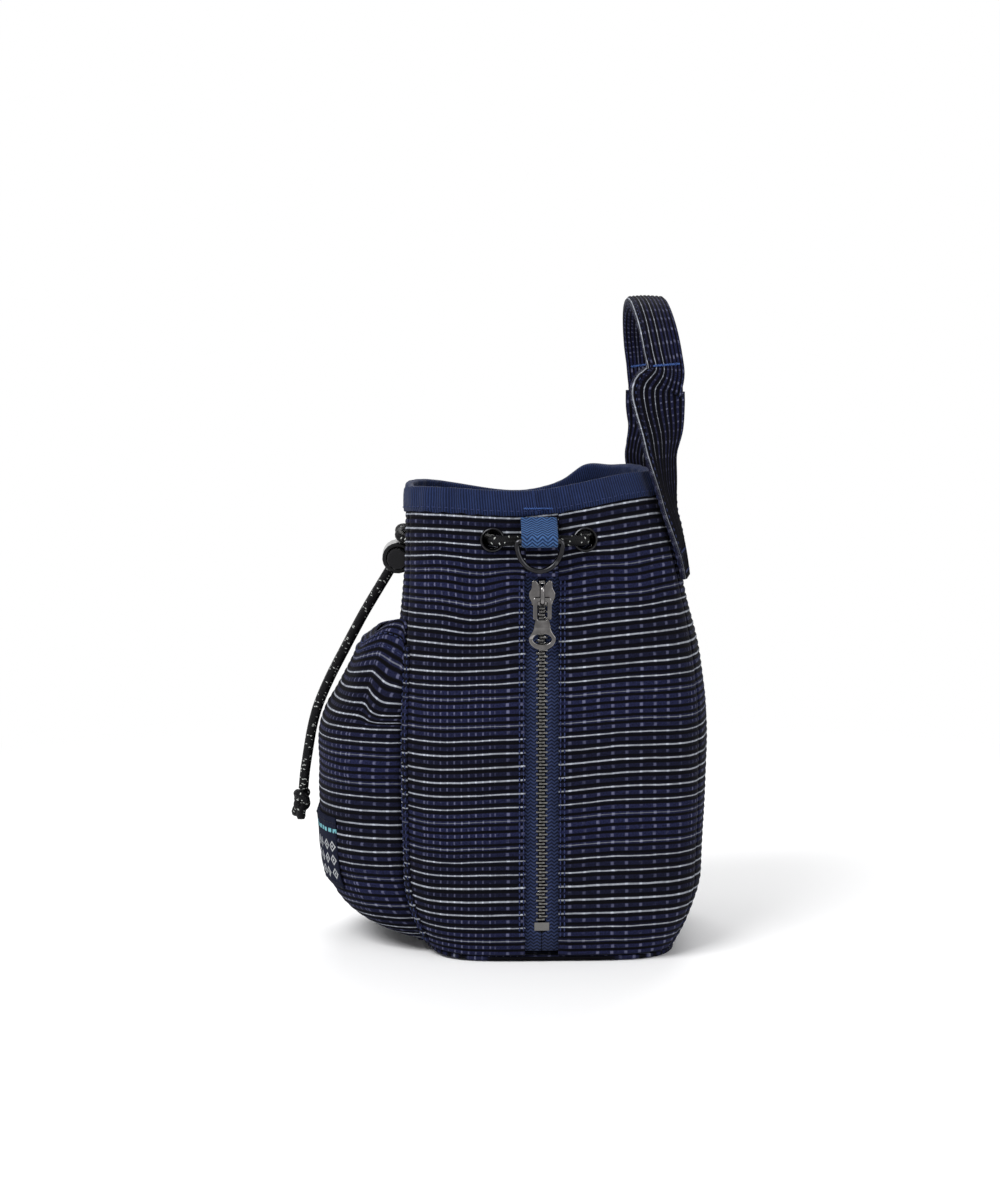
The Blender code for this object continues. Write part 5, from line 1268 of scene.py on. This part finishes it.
def makeHandle():
    stations = handleStations()
    fine = smoothValues([[*s, *a, w, t] for s, a, w, t in stations], 900)
    walked = distances(fine[:, :3])
    at = np.linspace(0, walked[-1], handle["rings"])
    fine = np.stack([np.interp(at, walked, fine[:, k]) for k in range(8)], axis=1)
    spot, across, width, thick = fine[:, :3], fine[:, 3:6], fine[:, 6], fine[:, 7]
    along = unit(np.gradient(spot, axis=0))
    across = unit(across - along * np.sum(across * along, axis=1, keepdims=True))
    normal = np.cross(along, across)
    # one loop of the section: face, edge, face, edge, from -1 to 1 across and back
    s = np.concatenate([np.linspace(-0.97, 0.97, 44), np.linspace(0.97, -0.97, 44)])
    face = np.concatenate([np.full(44, -1.0), np.full(44, 1.0)])
    edge = np.clip((np.abs(s) - 0.86) / 0.14, 0, 1)
    fold = np.clip((thick - handle["strapThickness"]) / (handle["gripThickness"] - handle["strapThickness"]), 0, 1)
    half = width[:, None] / 2 * s[None]
    flesh = np.sqrt(np.maximum(0.0, 1 - edge ** 2 * 0.82))
    # the ribs run along the strap, so they show as ridges across its width
    unrolled = (s[None] * handle["strapWidth"] / 2)
    ridge = handle["ribs"] * np.cos(unrolled / cloth["ribPitch"] * 2 * math.pi) * (1 - edge)
    slack = 0.0005 * np.sin(at * 210)[:, None] * np.cos(s * 2.2)[None] * (1 - fold[:, None] * 0.6)
    belly = 0.0006 * (1 - s[None] ** 2) * fold[:, None]
    rise = face[None] * (thick[:, None] / 2 * flesh[None] * 0.86 + ridge + belly) + slack
    points = spot[:, None] + across[:, None] * half[..., None] + normal[:, None] * rise[..., None]
    weave = np.stack(np.broadcast_arrays(at[:, None] + 0.01, unrolled * np.ones((len(at), 1)) * face[None] + 0.06),
                     axis=-1)
    made = gridPiece("cloth_handle", points, looks["cloth"], weave, closed=True, ends=True)
    settle(made, "ribbed_cloth", "pouch", "handle_strap")
    for side in (-1, 1):
        edgeLine = spot + across * (width * 0.5 * 0.84 * side)[:, None]
        for facing in (-1, 1):
            line = edgeLine + normal * (facing * (thick / 2 * 0.9))[:, None]
            sewn = stitches("handleStitches", line[6:-6], normal[6:-6] * facing, looks["navyThread"], 0.0028)
            settle(sewn, "ribbed_cloth", "pouch")
    # dense blue bars of thread hold the fold, and others hold each foot
    levels = spot[:, 2]
    nearHalf = np.arange(len(at)) < len(at) // 2
    for nearSide in (True, False):
        mask = nearHalf if nearSide else ~nearHalf
        k = np.where(mask)[0][np.argmin(np.abs(levels[mask] - handle["barLevel"]))]
        for facing in (-1, 1):
            bar = [spot[k] + across[k] * (width[k] / 2 * 0.7 * t) + normal[k] * facing * (thick[k] / 2 + 0.0005)
                   + along[k] * (0.0007 * (i % 2)) for i, t in enumerate(np.linspace(-1, 1, 26))]
            sewn = stitches("handleBar", bar, [normal[k] * facing] * 26, looks["blueThread"], 0.0007, 1.2, 0.00034)
            settle(sewn, "ribbed_cloth", "pouch")
        for z in handle["footBars"]:
            k = np.where(mask)[0][np.argmin(np.abs(levels[mask] - z))]
            outward = normal[k] if normal[k][1] > 0 else -normal[k]
            bar = [spot[k] + across[k] * (width[k] / 2 * 0.82 * t) + outward * (thick[k] / 2)
                   for t in np.linspace(-1, 1, 14)]
            sewn = stitches("footBar", bar, [outward] * 14, looks["navyThread"], 0.0011, 0.9, 0.0003)
            settle(sewn, "ribbed_cloth", "pouch")


makeHandle()
say("handle")


# the zip

zipper = {
    "tapeWidth": 0.010, "tapeThickness": 0.0007, "tapeGap": 0.0005, "tapeFoot": 0.004,
    "pitch": 0.0025, "toothHeight": 0.00105, "toothDepth": 0.0021, "stopHeight": 0.0032,
}


def zipLean():
    return math.atan((pouch["baseWidth"] - pouch["shoulderWidth"]) / 2 / pouch["zipTop"])


def zipFrame(level):
    surface = float(halfWidth(max(level, pouch["sideEdgeHeight"])))
    depth = pouch["clothThickness"] + zipper["tapeGap"] + zipper["tapeThickness"] / 2
    return (Matrix.Translation((surface - depth, pouch["zipY"], level)) @ Matrix.Rotation(-zipLean(), 4, "Y"))


def makeTapes():
    z = zipper
    for side, name in ((-1, "front"), (1, "rear")):
        level = np.linspace(z["tapeFoot"], pouch["zipTop"] + 0.0035, 260)
        inner = np.where(level < pouch["zipBottom"] - 0.0004, pouch["seamGap"] / 2, 0.0015)
        middle = halfWidth(level) - pouch["clothThickness"] - z["tapeGap"] - z["tapeThickness"] / 2
        across = np.linspace(0, 1, 22)
        y = pouch["zipY"] + side * mixed(inner[:, None], z["tapeWidth"], across[None])
        bead = 0.0004 * np.exp(-((across[None] * z["tapeWidth"] - 0.0022) / 0.0009) ** 2)
        x = middle[:, None] + bead
        points = np.stack([x, y, level[:, None] + 0 * y], axis=-1)
        weave = np.stack([level[:, None] + 0 * y, side * y + 0.05], axis=-1)
        made = gridPiece("wovenTape_" + name, points, looks["zipTape"], weave)
        thicken(made, z["tapeThickness"], 0.0)
        settle(made, "zip_tape", "pouch", "zip_tape_" + name)


def toothShape():
    # one cast tooth from its root on the tape to its head past the middle, chamfered all round
    h, d = zipper["toothHeight"] / 2, zipper["toothDepth"] / 2
    outline = [(-0.0022, -h * 0.75), (0.0001, -h * 0.8), (0.0006, -h), (0.0011, -h * 0.7), (0.0011, h * 0.7),
               (0.0006, h), (0.0001, h * 0.8), (-0.0022, h * 0.75)]
    rings = []
    for x, shrink in ((-d, 0.72), (-d * 0.72, 1.0), (d * 0.72, 1.0), (d, 0.66)):
        rings.append([(x, (a + 0.0005) * shrink - 0.0005, b * shrink) for a, b in outline])
    points = [p for ring in rings for p in ring]
    size = len(outline)
    faces = [tuple(range(size - 1, -1, -1)), tuple(range(3 * size, 4 * size))]
    for r in range(3):
        for i in range(size):
            a, b = r * size + i, r * size + (i + 1) % size
            faces.append((a, b, b + size, a + size))
    return points, faces


def makeTeeth():
    middle = (pouch["zipTop"] + pouch["zipBottom"]) / 2
    place = zipFrame(middle)
    low, high = pouch["zipBottom"] - middle, pouch["zipTop"] - middle
    top = high - zipper["stopHeight"] - 0.0012
    shape, faces = toothShape()
    for side, name in ((-1, "front"), (1, "rear")):
        foot = low + zipper["stopHeight"] + (0.0 if side < 0 else zipper["pitch"] / 2) + 0.0012
        count = int((top - foot) / zipper["pitch"])
        points, allFaces = [], []
        for k in range(count + 1):
            z = foot + k * zipper["pitch"]
            first = len(points)
            points += [place @ Vector((x, -side * y, b + z)) for x, y, b in shape]
            allFaces += [tuple(first + i for i in face) for face in faces]
        mesh = bpy.data.meshes.new("castTeeth_" + name)
        mesh.from_pydata([tuple(p) for p in points], [], allFaces)
        tidyMesh(mesh)
        mesh.shade_smooth()
        mesh.set_sharp_from_angle(angle=math.radians(28))
        mesh.materials.append(looks["teeth"])
        made = linked("castTeeth_" + name, mesh)
        settle(made, "gunmetal", "pouch", "zip_teeth_" + name)


def dress(node, look, bevel=0.0, segments=2):
    # a CAD node that stays: it gets its finish, and its edges are rounded
    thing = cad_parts[node]
    for place in thing.material_slots:
        place.link = "OBJECT"
        place.material = look
    if bevel:
        soften(thing, bevel, segments)


slider = {
    "level": 0.1457, "room": 0.0013, "plate": 0.0011, "height": 0.0100, "shoulder": 0.0104, "waist": 0.0082,
    "crown": 0.00095, "crownRoom": 0.0027, "edge": 0.0003,
    "pullTop": 0.0074, "pullNeck": 0.0064, "pullWide": 0.0106, "pullLength": 0.0205, "pullThickness": 0.0014,
}


def roundedLine(corners, reach):
    # an outline with each corner rounded by a short quadratic arc
    corners = np.array(corners, float)
    out = []
    for k in range(len(corners)):
        a, b, c = corners[k - 1], corners[k], corners[(k + 1) % len(corners)]
        r = min(reach, np.linalg.norm(a - b) * 0.48, np.linalg.norm(c - b) * 0.48)
        first, last = b + unit(a - b) * r, b + unit(c - b) * r
        for t in (0.0, 0.33, 0.67, 1.0):
            out.append(first * (1 - t) ** 2 + b * 2 * t * (1 - t) + last * t * t)
    return out


def castPlate(name, outlines, low, high, edge, place, look):
    # a flat casting with rounded edges: outlines lie in the place's YZ plane, holes follow the outer one
    curve = bpy.data.curves.new(name, "CURVE")
    curve.dimensions, curve.fill_mode = "2D", "BOTH"
    curve.extrude, curve.bevel_depth, curve.bevel_resolution = (high - low) / 2 - edge, edge, 3
    curve.offset = -edge
    for outline in outlines:
        spline = curve.splines.new("POLY")
        spline.points.add(len(outline) - 1)
        spline.use_cyclic_u = True
        for point, (a, b) in zip(spline.points, outline):
            point.co = (a, b, 0, 1)
    shape = linked(name + "Line", curve)
    bpy.context.view_layer.update()
    mesh = bpy.data.meshes.new_from_object(shape.evaluated_get(bpy.context.evaluated_depsgraph_get()))
    bpy.data.objects.remove(shape, do_unlink=True)
    turn = Matrix(((0, 0, 1, (low + high) / 2), (1, 0, 0, 0), (0, 1, 0, 0), (0, 0, 0, 1)))
    mesh.transform(place @ turn)
    mesh.name = name
    mesh.materials.clear()
    mesh.materials.append(look)
    tidyMesh(mesh, 1e-6)
    mesh.shade_smooth()
    mesh.set_sharp_from_angle(angle=math.radians(40))
    return linked(name, mesh)


def makeSlider():
    s = slider
    place = zipFrame(s["level"])
    half, waist, wide = s["height"] / 2, s["waist"] / 2, s["shoulder"] / 2
    right = [(waist * 0.94, -half), (waist, -half * 0.75), (wide * 0.97, -half * 0.38), (wide, -half * 0.02),
             (waist * 0.98, half * 0.34), (waist * 0.98, half * 0.88), (wide * 0.52, half), (0.0008, half * 0.52)]
    outline = roundedLine(right + [(-a, b) for a, b in reversed(right)], 0.0011)
    foot = s["room"] + s["plate"]
    parts = [castPlate("sliderPlate", [outline], s["room"], foot, s["edge"], place, looks["slider"]),
             castPlate("sliderBack", [[(a * 0.97, b) for a, b in outline]], -foot, -s["room"], s["edge"], place,
                       looks["slider"])]
    post = roundedLine([(0.0008, half - 0.0026), (0.0012, half - 0.0006), (-0.0012, half - 0.0006),
                        (-0.0008, half - 0.0026)], 0.0004)
    parts.append(castPlate("sliderPost", [post], -s["room"] - 0.0004, s["room"] + 0.0004, 0.0001, place,
                           looks["slider"]))
    for side in (-1, 1):
        lip = [(side * (waist - 0.0007), -half + 0.0003), (side * waist * 0.99, -half + 0.0003),
               (side * waist * 0.99, 0.0), (side * (waist - 0.0007), 0.0)]
        for low, high in ((0.00065, s["room"] + 0.0004), (-s["room"] - 0.0004, -0.00065)):
            parts.append(castPlate("sliderLip", [lip], low, high, 0.0001, place, looks["slider"]))
    # the crown arches over the plate and carries the pull
    rise, low, high = foot + s["crownRoom"] + s["crown"] * 0.6, -half + 0.0009, half - 0.0020
    arch = smoothLine([(foot - 0.0006, 0, low), (foot + 0.0010, 0, low - 0.0001), (rise - 0.0009, 0, low + 0.0003),
                       (rise, 0, low + 0.0016), (rise + 0.0001, 0, 0.0002), (rise, 0, high - 0.0016),
                       (rise - 0.0010, 0, high - 0.0003), (foot + 0.0008, 0, high),
                       (foot - 0.0006, 0, high)], 0.0003)
    turn = np.array(place)
    line = arch @ turn[:3, :3].T + turn[:3, 3]
    parts.append(tube("sliderCrown", line, s["crown"], looks["slider"], sides=16))
    made = joined("castSlider", parts)
    settle(made, "gunmetal", "slider", "zip_slider_body")


def makePull():
    s = slider
    hinge = Vector((s["room"] + s["plate"] + s["crownRoom"] / 2, 0.0, -s["height"] / 2 + 0.0025))
    place = zipFrame(s["level"]) @ Matrix.Translation(hinge) @ Matrix.Rotation(zipLean(), 4, "Y")
    top, neck, wide = s["pullTop"] / 2, s["pullNeck"] / 2, s["pullWide"] / 2
    low = 0.0007 - s["pullLength"]
    centre = low + wide * 0.84
    foot = [(wide * math.cos(a), centre + wide * 0.84 * math.sin(a)) for a in np.radians(np.arange(8, -189, -8))]
    neckLine = [(neck, -0.0102), (neck * 1.03, -0.0112), (neck * 1.14, -0.0123), (neck * 1.34, -0.0134)]
    outline = roundedLine([(-top * 0.99, -0.0080), (-top * 0.98, 0.0007), (top * 0.98, 0.0007),
                           (top * 0.99, -0.0080)], 0.0010)
    outline = outline + neckLine + foot + [(-a, b) for a, b in reversed(neckLine)]
    window = roundedLine([(-0.0019, -0.0007), (-0.0019, -0.0080), (0.0019, -0.0080), (0.0019, -0.0007)], 0.0006)
    eye = [(0.0036 * math.cos(a), centre - 0.0002 + 0.0021 * math.sin(a))
           for a in np.radians(np.arange(0, 360, 12))]
    half = s["pullThickness"] / 2
    made = castPlate("castPull", [outline, window, eye], -half, half, 0.00042, place, looks["slider"])
    settle(made, "gunmetal", "pull", "zip_pull")


def makeZip():
    makeTapes()
    makeTeeth()
    for node in ("zip_top_stop_front", "zip_top_stop_rear", "zip_bottom_stop"):
        dress(node, looks["teeth"], 0.0003)
    makeSlider()
    makePull()
    # double rows of stitches beside the opening, and a bar of thread across its foot
    half = pouch["zipOpening"] / 2
    level = np.linspace(0.0100, pouch["zipTop"] + 0.001, 300)
    for side in (-1, 1):
        for off in (0.0007, 0.0023):
            y = pouch["zipY"] + side * (half + off)
            phi = angleAt(y, level)
            line = onCloth(phi, level, cloth["ribHeight"] * 0.75, True)
            sewn = stitches("zipStitches", line, clothNormal(phi, level), looks["navyThread"], 0.0022, 0.75, 0.0003)
            settle(sewn, "ribbed_cloth", "pouch")
    y = np.linspace(-1, 1, 60) * (half + 0.001) + pouch["zipY"]
    level = np.full(y.shape, pouch["zipTop"] + 0.0022)
    phi = angleAt(y, level)
    line = onCloth(phi, level, cloth["ribHeight"] * 0.9, True)
    sewn = stitches("zipHeadStitches", line, clothNormal(phi, level), looks["navyThread"], 0.0024)
    settle(sewn, "ribbed_cloth", "pouch")


makeZip()
say("zip")


# eyelets, tabs and rings

fitting = {
    "eyeletDrop": 0.0178, "seat": 0.0004, "hole": 0.0035, "flange": 0.0049, "wall": 0.0006, "rim": 0.0011,
    "washer": 0.0006, "lip": 0.0003,
    "frontSpread": 0.027, "ribSeat": 0.00055, "segments": 56,
    "tabWidth": 0.014, "tabDrop": 0.0092, "webbing": 0.001, "ringWidth": 0.0196, "wire": 0.0021,
    "ringDrop": 0.0125, "barDrop": 0.0178, "corner": 0.0008, "standoff": 0.008,
}


def sideLevel(drop, far):
    return float(rimLevel(math.pi if far else 0.0)) - drop


def panelAngle(x, level):
    low, high = math.radians(-140), math.radians(-40)
    for _ in range(22):
        middle = (low + high) / 2
        if clothPoint(np.array([middle]), np.array([level]))[0, 0] < x:
            low = middle
        else:
            high = middle
    return (low + high) / 2


def eyeletSpots():
    spots, half = {}, pouch["eyeletSpread"] / 2
    for name, far in (("near", False), ("far", True)):
        level = sideLevel(fitting["eyeletDrop"], far)
        for end, side in (("front", -1), ("rear", 1)):
            spots[name + "_" + end] = (float(angleAt(pouch["tabY"] + side * half, level, far)), level)
    level = float(rimLevel(-math.pi / 2)) - fitting["eyeletDrop"]
    for end, side in (("near", 1), ("far", -1)):
        spots["front_" + end] = (panelAngle(side * fitting["frontSpread"] / 2, level), level)
    return spots


def clothFrame(phi, level):
    spot = Vector(clothPoint(np.array([phi]), np.array([level]))[0])
    out = Vector(clothNormal(np.array([phi]), np.array([level]))[0])
    side = Vector((0, 0, 1)).cross(out).normalized()
    up = out.cross(side)
    return Matrix.Translation(spot) @ Matrix((side, up, out)).transposed().to_4x4()


def turned(name, profile, place, look, segments):
    # a closed outline of (radius, height) points turned about the place's own Z
    turn = np.linspace(0, 2 * math.pi, segments, endpoint=False)
    rows = []
    for r, h in profile + profile[:1]:
        rows.append([tuple(place @ Vector((r * math.cos(a), r * math.sin(a), h))) for a in turn])
    made = gridPiece(name, np.array(rows), look, closed=True)
    tidyMesh(made.data, 1e-7)
    return made


def makeEyelets():
    f = fitting
    gap = f["seat"] + f["ribSeat"]
    top = gap + f["rim"]
    barrel = f["hole"] + f["wall"]
    foot = -pouch["clothThickness"] - 3 * f["seat"] - f["washer"] - f["lip"]
    curl = [(f["flange"] - 0.0013 + 0.0013 * math.cos(a), gap + 0.0001 + (f["rim"] - 0.0001) * math.sin(a))
            for a in np.linspace(0, math.pi / 2, 7)]
    curl += [(f["hole"] + 0.0009 - 0.0009 * math.sin(a), top - 0.0009 + 0.0009 * math.cos(a))
             for a in np.linspace(0.2, math.pi / 2, 6)]
    ring = [(f["hole"], foot), (barrel, foot), (barrel, gap), (f["flange"], gap)] + curl
    carriers = {"near_front": "side_panel_front_strip", "near_rear": "side_panel_rear_strip",
                "far_front": "side_panel_far", "far_rear": "side_panel_far",
                "front_near": "front_panel", "front_far": "front_panel"}
    for name, (phi, level) in eyeletSpots().items():
        place = clothFrame(phi, level)
        made = turned("pressedEyelet_" + name, ring, place, looks["blackMetal"], f["segments"])
        settle(made, "black_metal", "pouch", "eyelet_" + name)
        dress("eyelet_washer_" + name, looks["blackMetal"])
        bpy.ops.mesh.primitive_cylinder_add(vertices=32, radius=f["flange"] - 0.0005, depth=0.009)
        punch = bpy.context.object
        punch.name = "punch_" + name
        punch.matrix_world = place
        bpy.context.view_layer.update()
        panel = panels[carriers[name]]
        hole = panel.modifiers.new("hole_" + name, "BOOLEAN")
        hole.operation, hole.solver, hole.object = "DIFFERENCE", "EXACT", punch
        bpy.context.view_layer.objects.active = panel
        with bpy.context.temp_override(object=panel, active_object=panel, selected_objects=[panel]):
            for change in [m.name for m in panel.modifiers]:
                bpy.ops.object.modifier_apply(modifier=change)
        bpy.data.objects.remove(punch, do_unlink=True)


def tabFrame(far):
    level = sideLevel(fitting["barDrop"], far)
    spot = clothPoint(np.array([float(angleAt(pouch["tabY"], level, far))]), np.array([level]))[0]
    turn = Matrix.Rotation(math.pi if far else 0.0, 4, "Z")
    return Matrix.Translation((float(spot[0]), pouch["tabY"], level)) @ turn


def makeTab(far):
    f, place = fitting, tabFrame(far)
    thick, wire = f["webbing"], f["wire"] / 2
    top, bend = f["barDrop"] - f["tabDrop"], wire + pouch["seamGap"] + f["webbing"] / 2
    level = sideLevel(f["tabDrop"], far)
    start = clothPoint(np.array([float(angleAt(pouch["tabY"], level, far))]), np.array([level]))[0]
    skinX = abs(float(start[0])) - abs(place.translation.x)
    backX = skinX + pouch["seamGap"] + f["ribSeat"] + thick / 2
    out = f["standoff"]
    route = [(backX, 0, top), (backX + 0.0006, 0, top * 0.8), (out - bend - 0.0004, 0, top * 0.38),
             (out - bend, 0, 0)]
    route += [(out - bend * math.cos(a), 0, -bend * math.sin(a)) for a in np.radians(range(30, 181, 30))]
    frontTop = backX + thick + pouch["seamGap"]
    route += [(out + bend - 0.0002, 0, top * 0.25), (frontTop + 0.0022, 0, top * 0.75), (frontTop, 0, top)]
    line = smoothLine(route, 0.0004)
    along = unit(np.gradient(line, axis=0))
    normal = np.stack([along[:, 2], 0 * along[:, 0], -along[:, 0]], axis=1)
    walked = distances(line)
    s = np.concatenate([np.linspace(-1, 1, 30), np.linspace(1, -1, 30)])
    face = np.concatenate([np.full(30, -1.0), np.full(30, 1.0)])
    edge = np.clip((np.abs(s) - 0.9) / 0.1, 0, 1)
    rise = face * thick / 2 * np.sqrt(np.maximum(0.05, 1 - edge ** 2 * 0.9))
    local = line[:, None] + normal[:, None] * rise[None, :, None]
    local[..., 1] += (f["tabWidth"] / 2 * s)[None]
    place = np.array(place)
    points = local @ place[:3, :3].T + place[:3, 3]
    weave = np.stack(np.broadcast_arrays(walked[:, None], s[None] * f["tabWidth"] / 2 + 0.021), axis=-1)
    side = "far" if far else "near"
    made = gridPiece("foldedWebbing_" + side, points, looks["webbing"], weave, closed=True, ends=True)
    settle(made, "webbing", "pouch", "webbing_tab_" + side)


def makeRing(far):
    f = fitting
    half, corner = (f["ringWidth"] - f["wire"]) / 2, f["corner"]
    bow = f["ringDrop"] - f["wire"] / 2 - corner
    path = [(0, -half * 0.5, 0), (0, half * 0.5, 0), (0, half - corner, 0),
            (0, half - corner * 0.3, -corner * 0.3),
            (0, half, -corner)]
    path += [(0, half * math.cos(a), -corner - bow * math.sin(a)) for a in np.radians(range(7, 180, 7))]
    path += [(0, -half, -corner), (0, -half + corner * 0.3, -corner * 0.3), (0, -half + corner, 0),
             (0, -half * 0.5, 0)]
    place = np.array(tabFrame(far) @ Matrix.Translation((f["standoff"], 0, 0)))
    line = evenly(np.array(path, float), 0.0005)[:-1]
    ahead = unit(np.roll(line, -1, axis=0) - np.roll(line, 1, axis=0))
    side = np.cross(np.array([1.0, 0, 0]), ahead)
    turn = np.linspace(0, 2 * math.pi, 20, endpoint=False)
    local = line[:, None] + f["wire"] / 2 * (np.array([1.0, 0, 0])[None, None] * np.cos(turn)[None, :, None]
                                             + side[:, None] * np.sin(turn)[None, :, None])
    points = local @ place[:3, :3].T + place[:3, 3]
    points = np.concatenate([points, points[:1]])
    name = "far" if far else "near"
    made = gridPiece("bentRing_" + name, points, looks["blackMetal"], closed=True)
    tidyMesh(made.data, 1e-7)
    settle(made, "black_metal", "ring_" + name, "d_ring_" + name)


def makeFittings():
    makeEyelets()
    for far in (False, True):
        makeTab(far)
        makeRing(far)
    # dense bars of blue thread hold each tab through the binding
    for far in (False, True):
        level = sideLevel(0.0062, far)
        y = np.linspace(-1, 1, 26) * 0.0058 + pouch["tabY"]
        levels = np.full(y.shape, level) + 0.0005 * (np.arange(26) % 2)
        phi = angleAt(y, levels, far)
        line = onCloth(phi, levels, pouch["seamGap"] + binding["wall"] + 0.0004)
        sewn = stitches("tabBar", line, clothNormal(phi, levels), looks["blueThread"], 0.0006, 1.25, 0.0003)
        settle(sewn, "webbing", "pouch")


makeFittings()
say("eyelets, tabs and rings")


# the cord lock

def makeLock():
    dress("cord_lock_shell", looks["plastic"], 0.0005, 3)
    dress("cord_lock_plunger", looks["plastic"], 0.0003, 2)
    dress("cord_lock_spring", looks["slider"])


makeLock()
say("cord lock")

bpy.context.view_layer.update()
say("done")
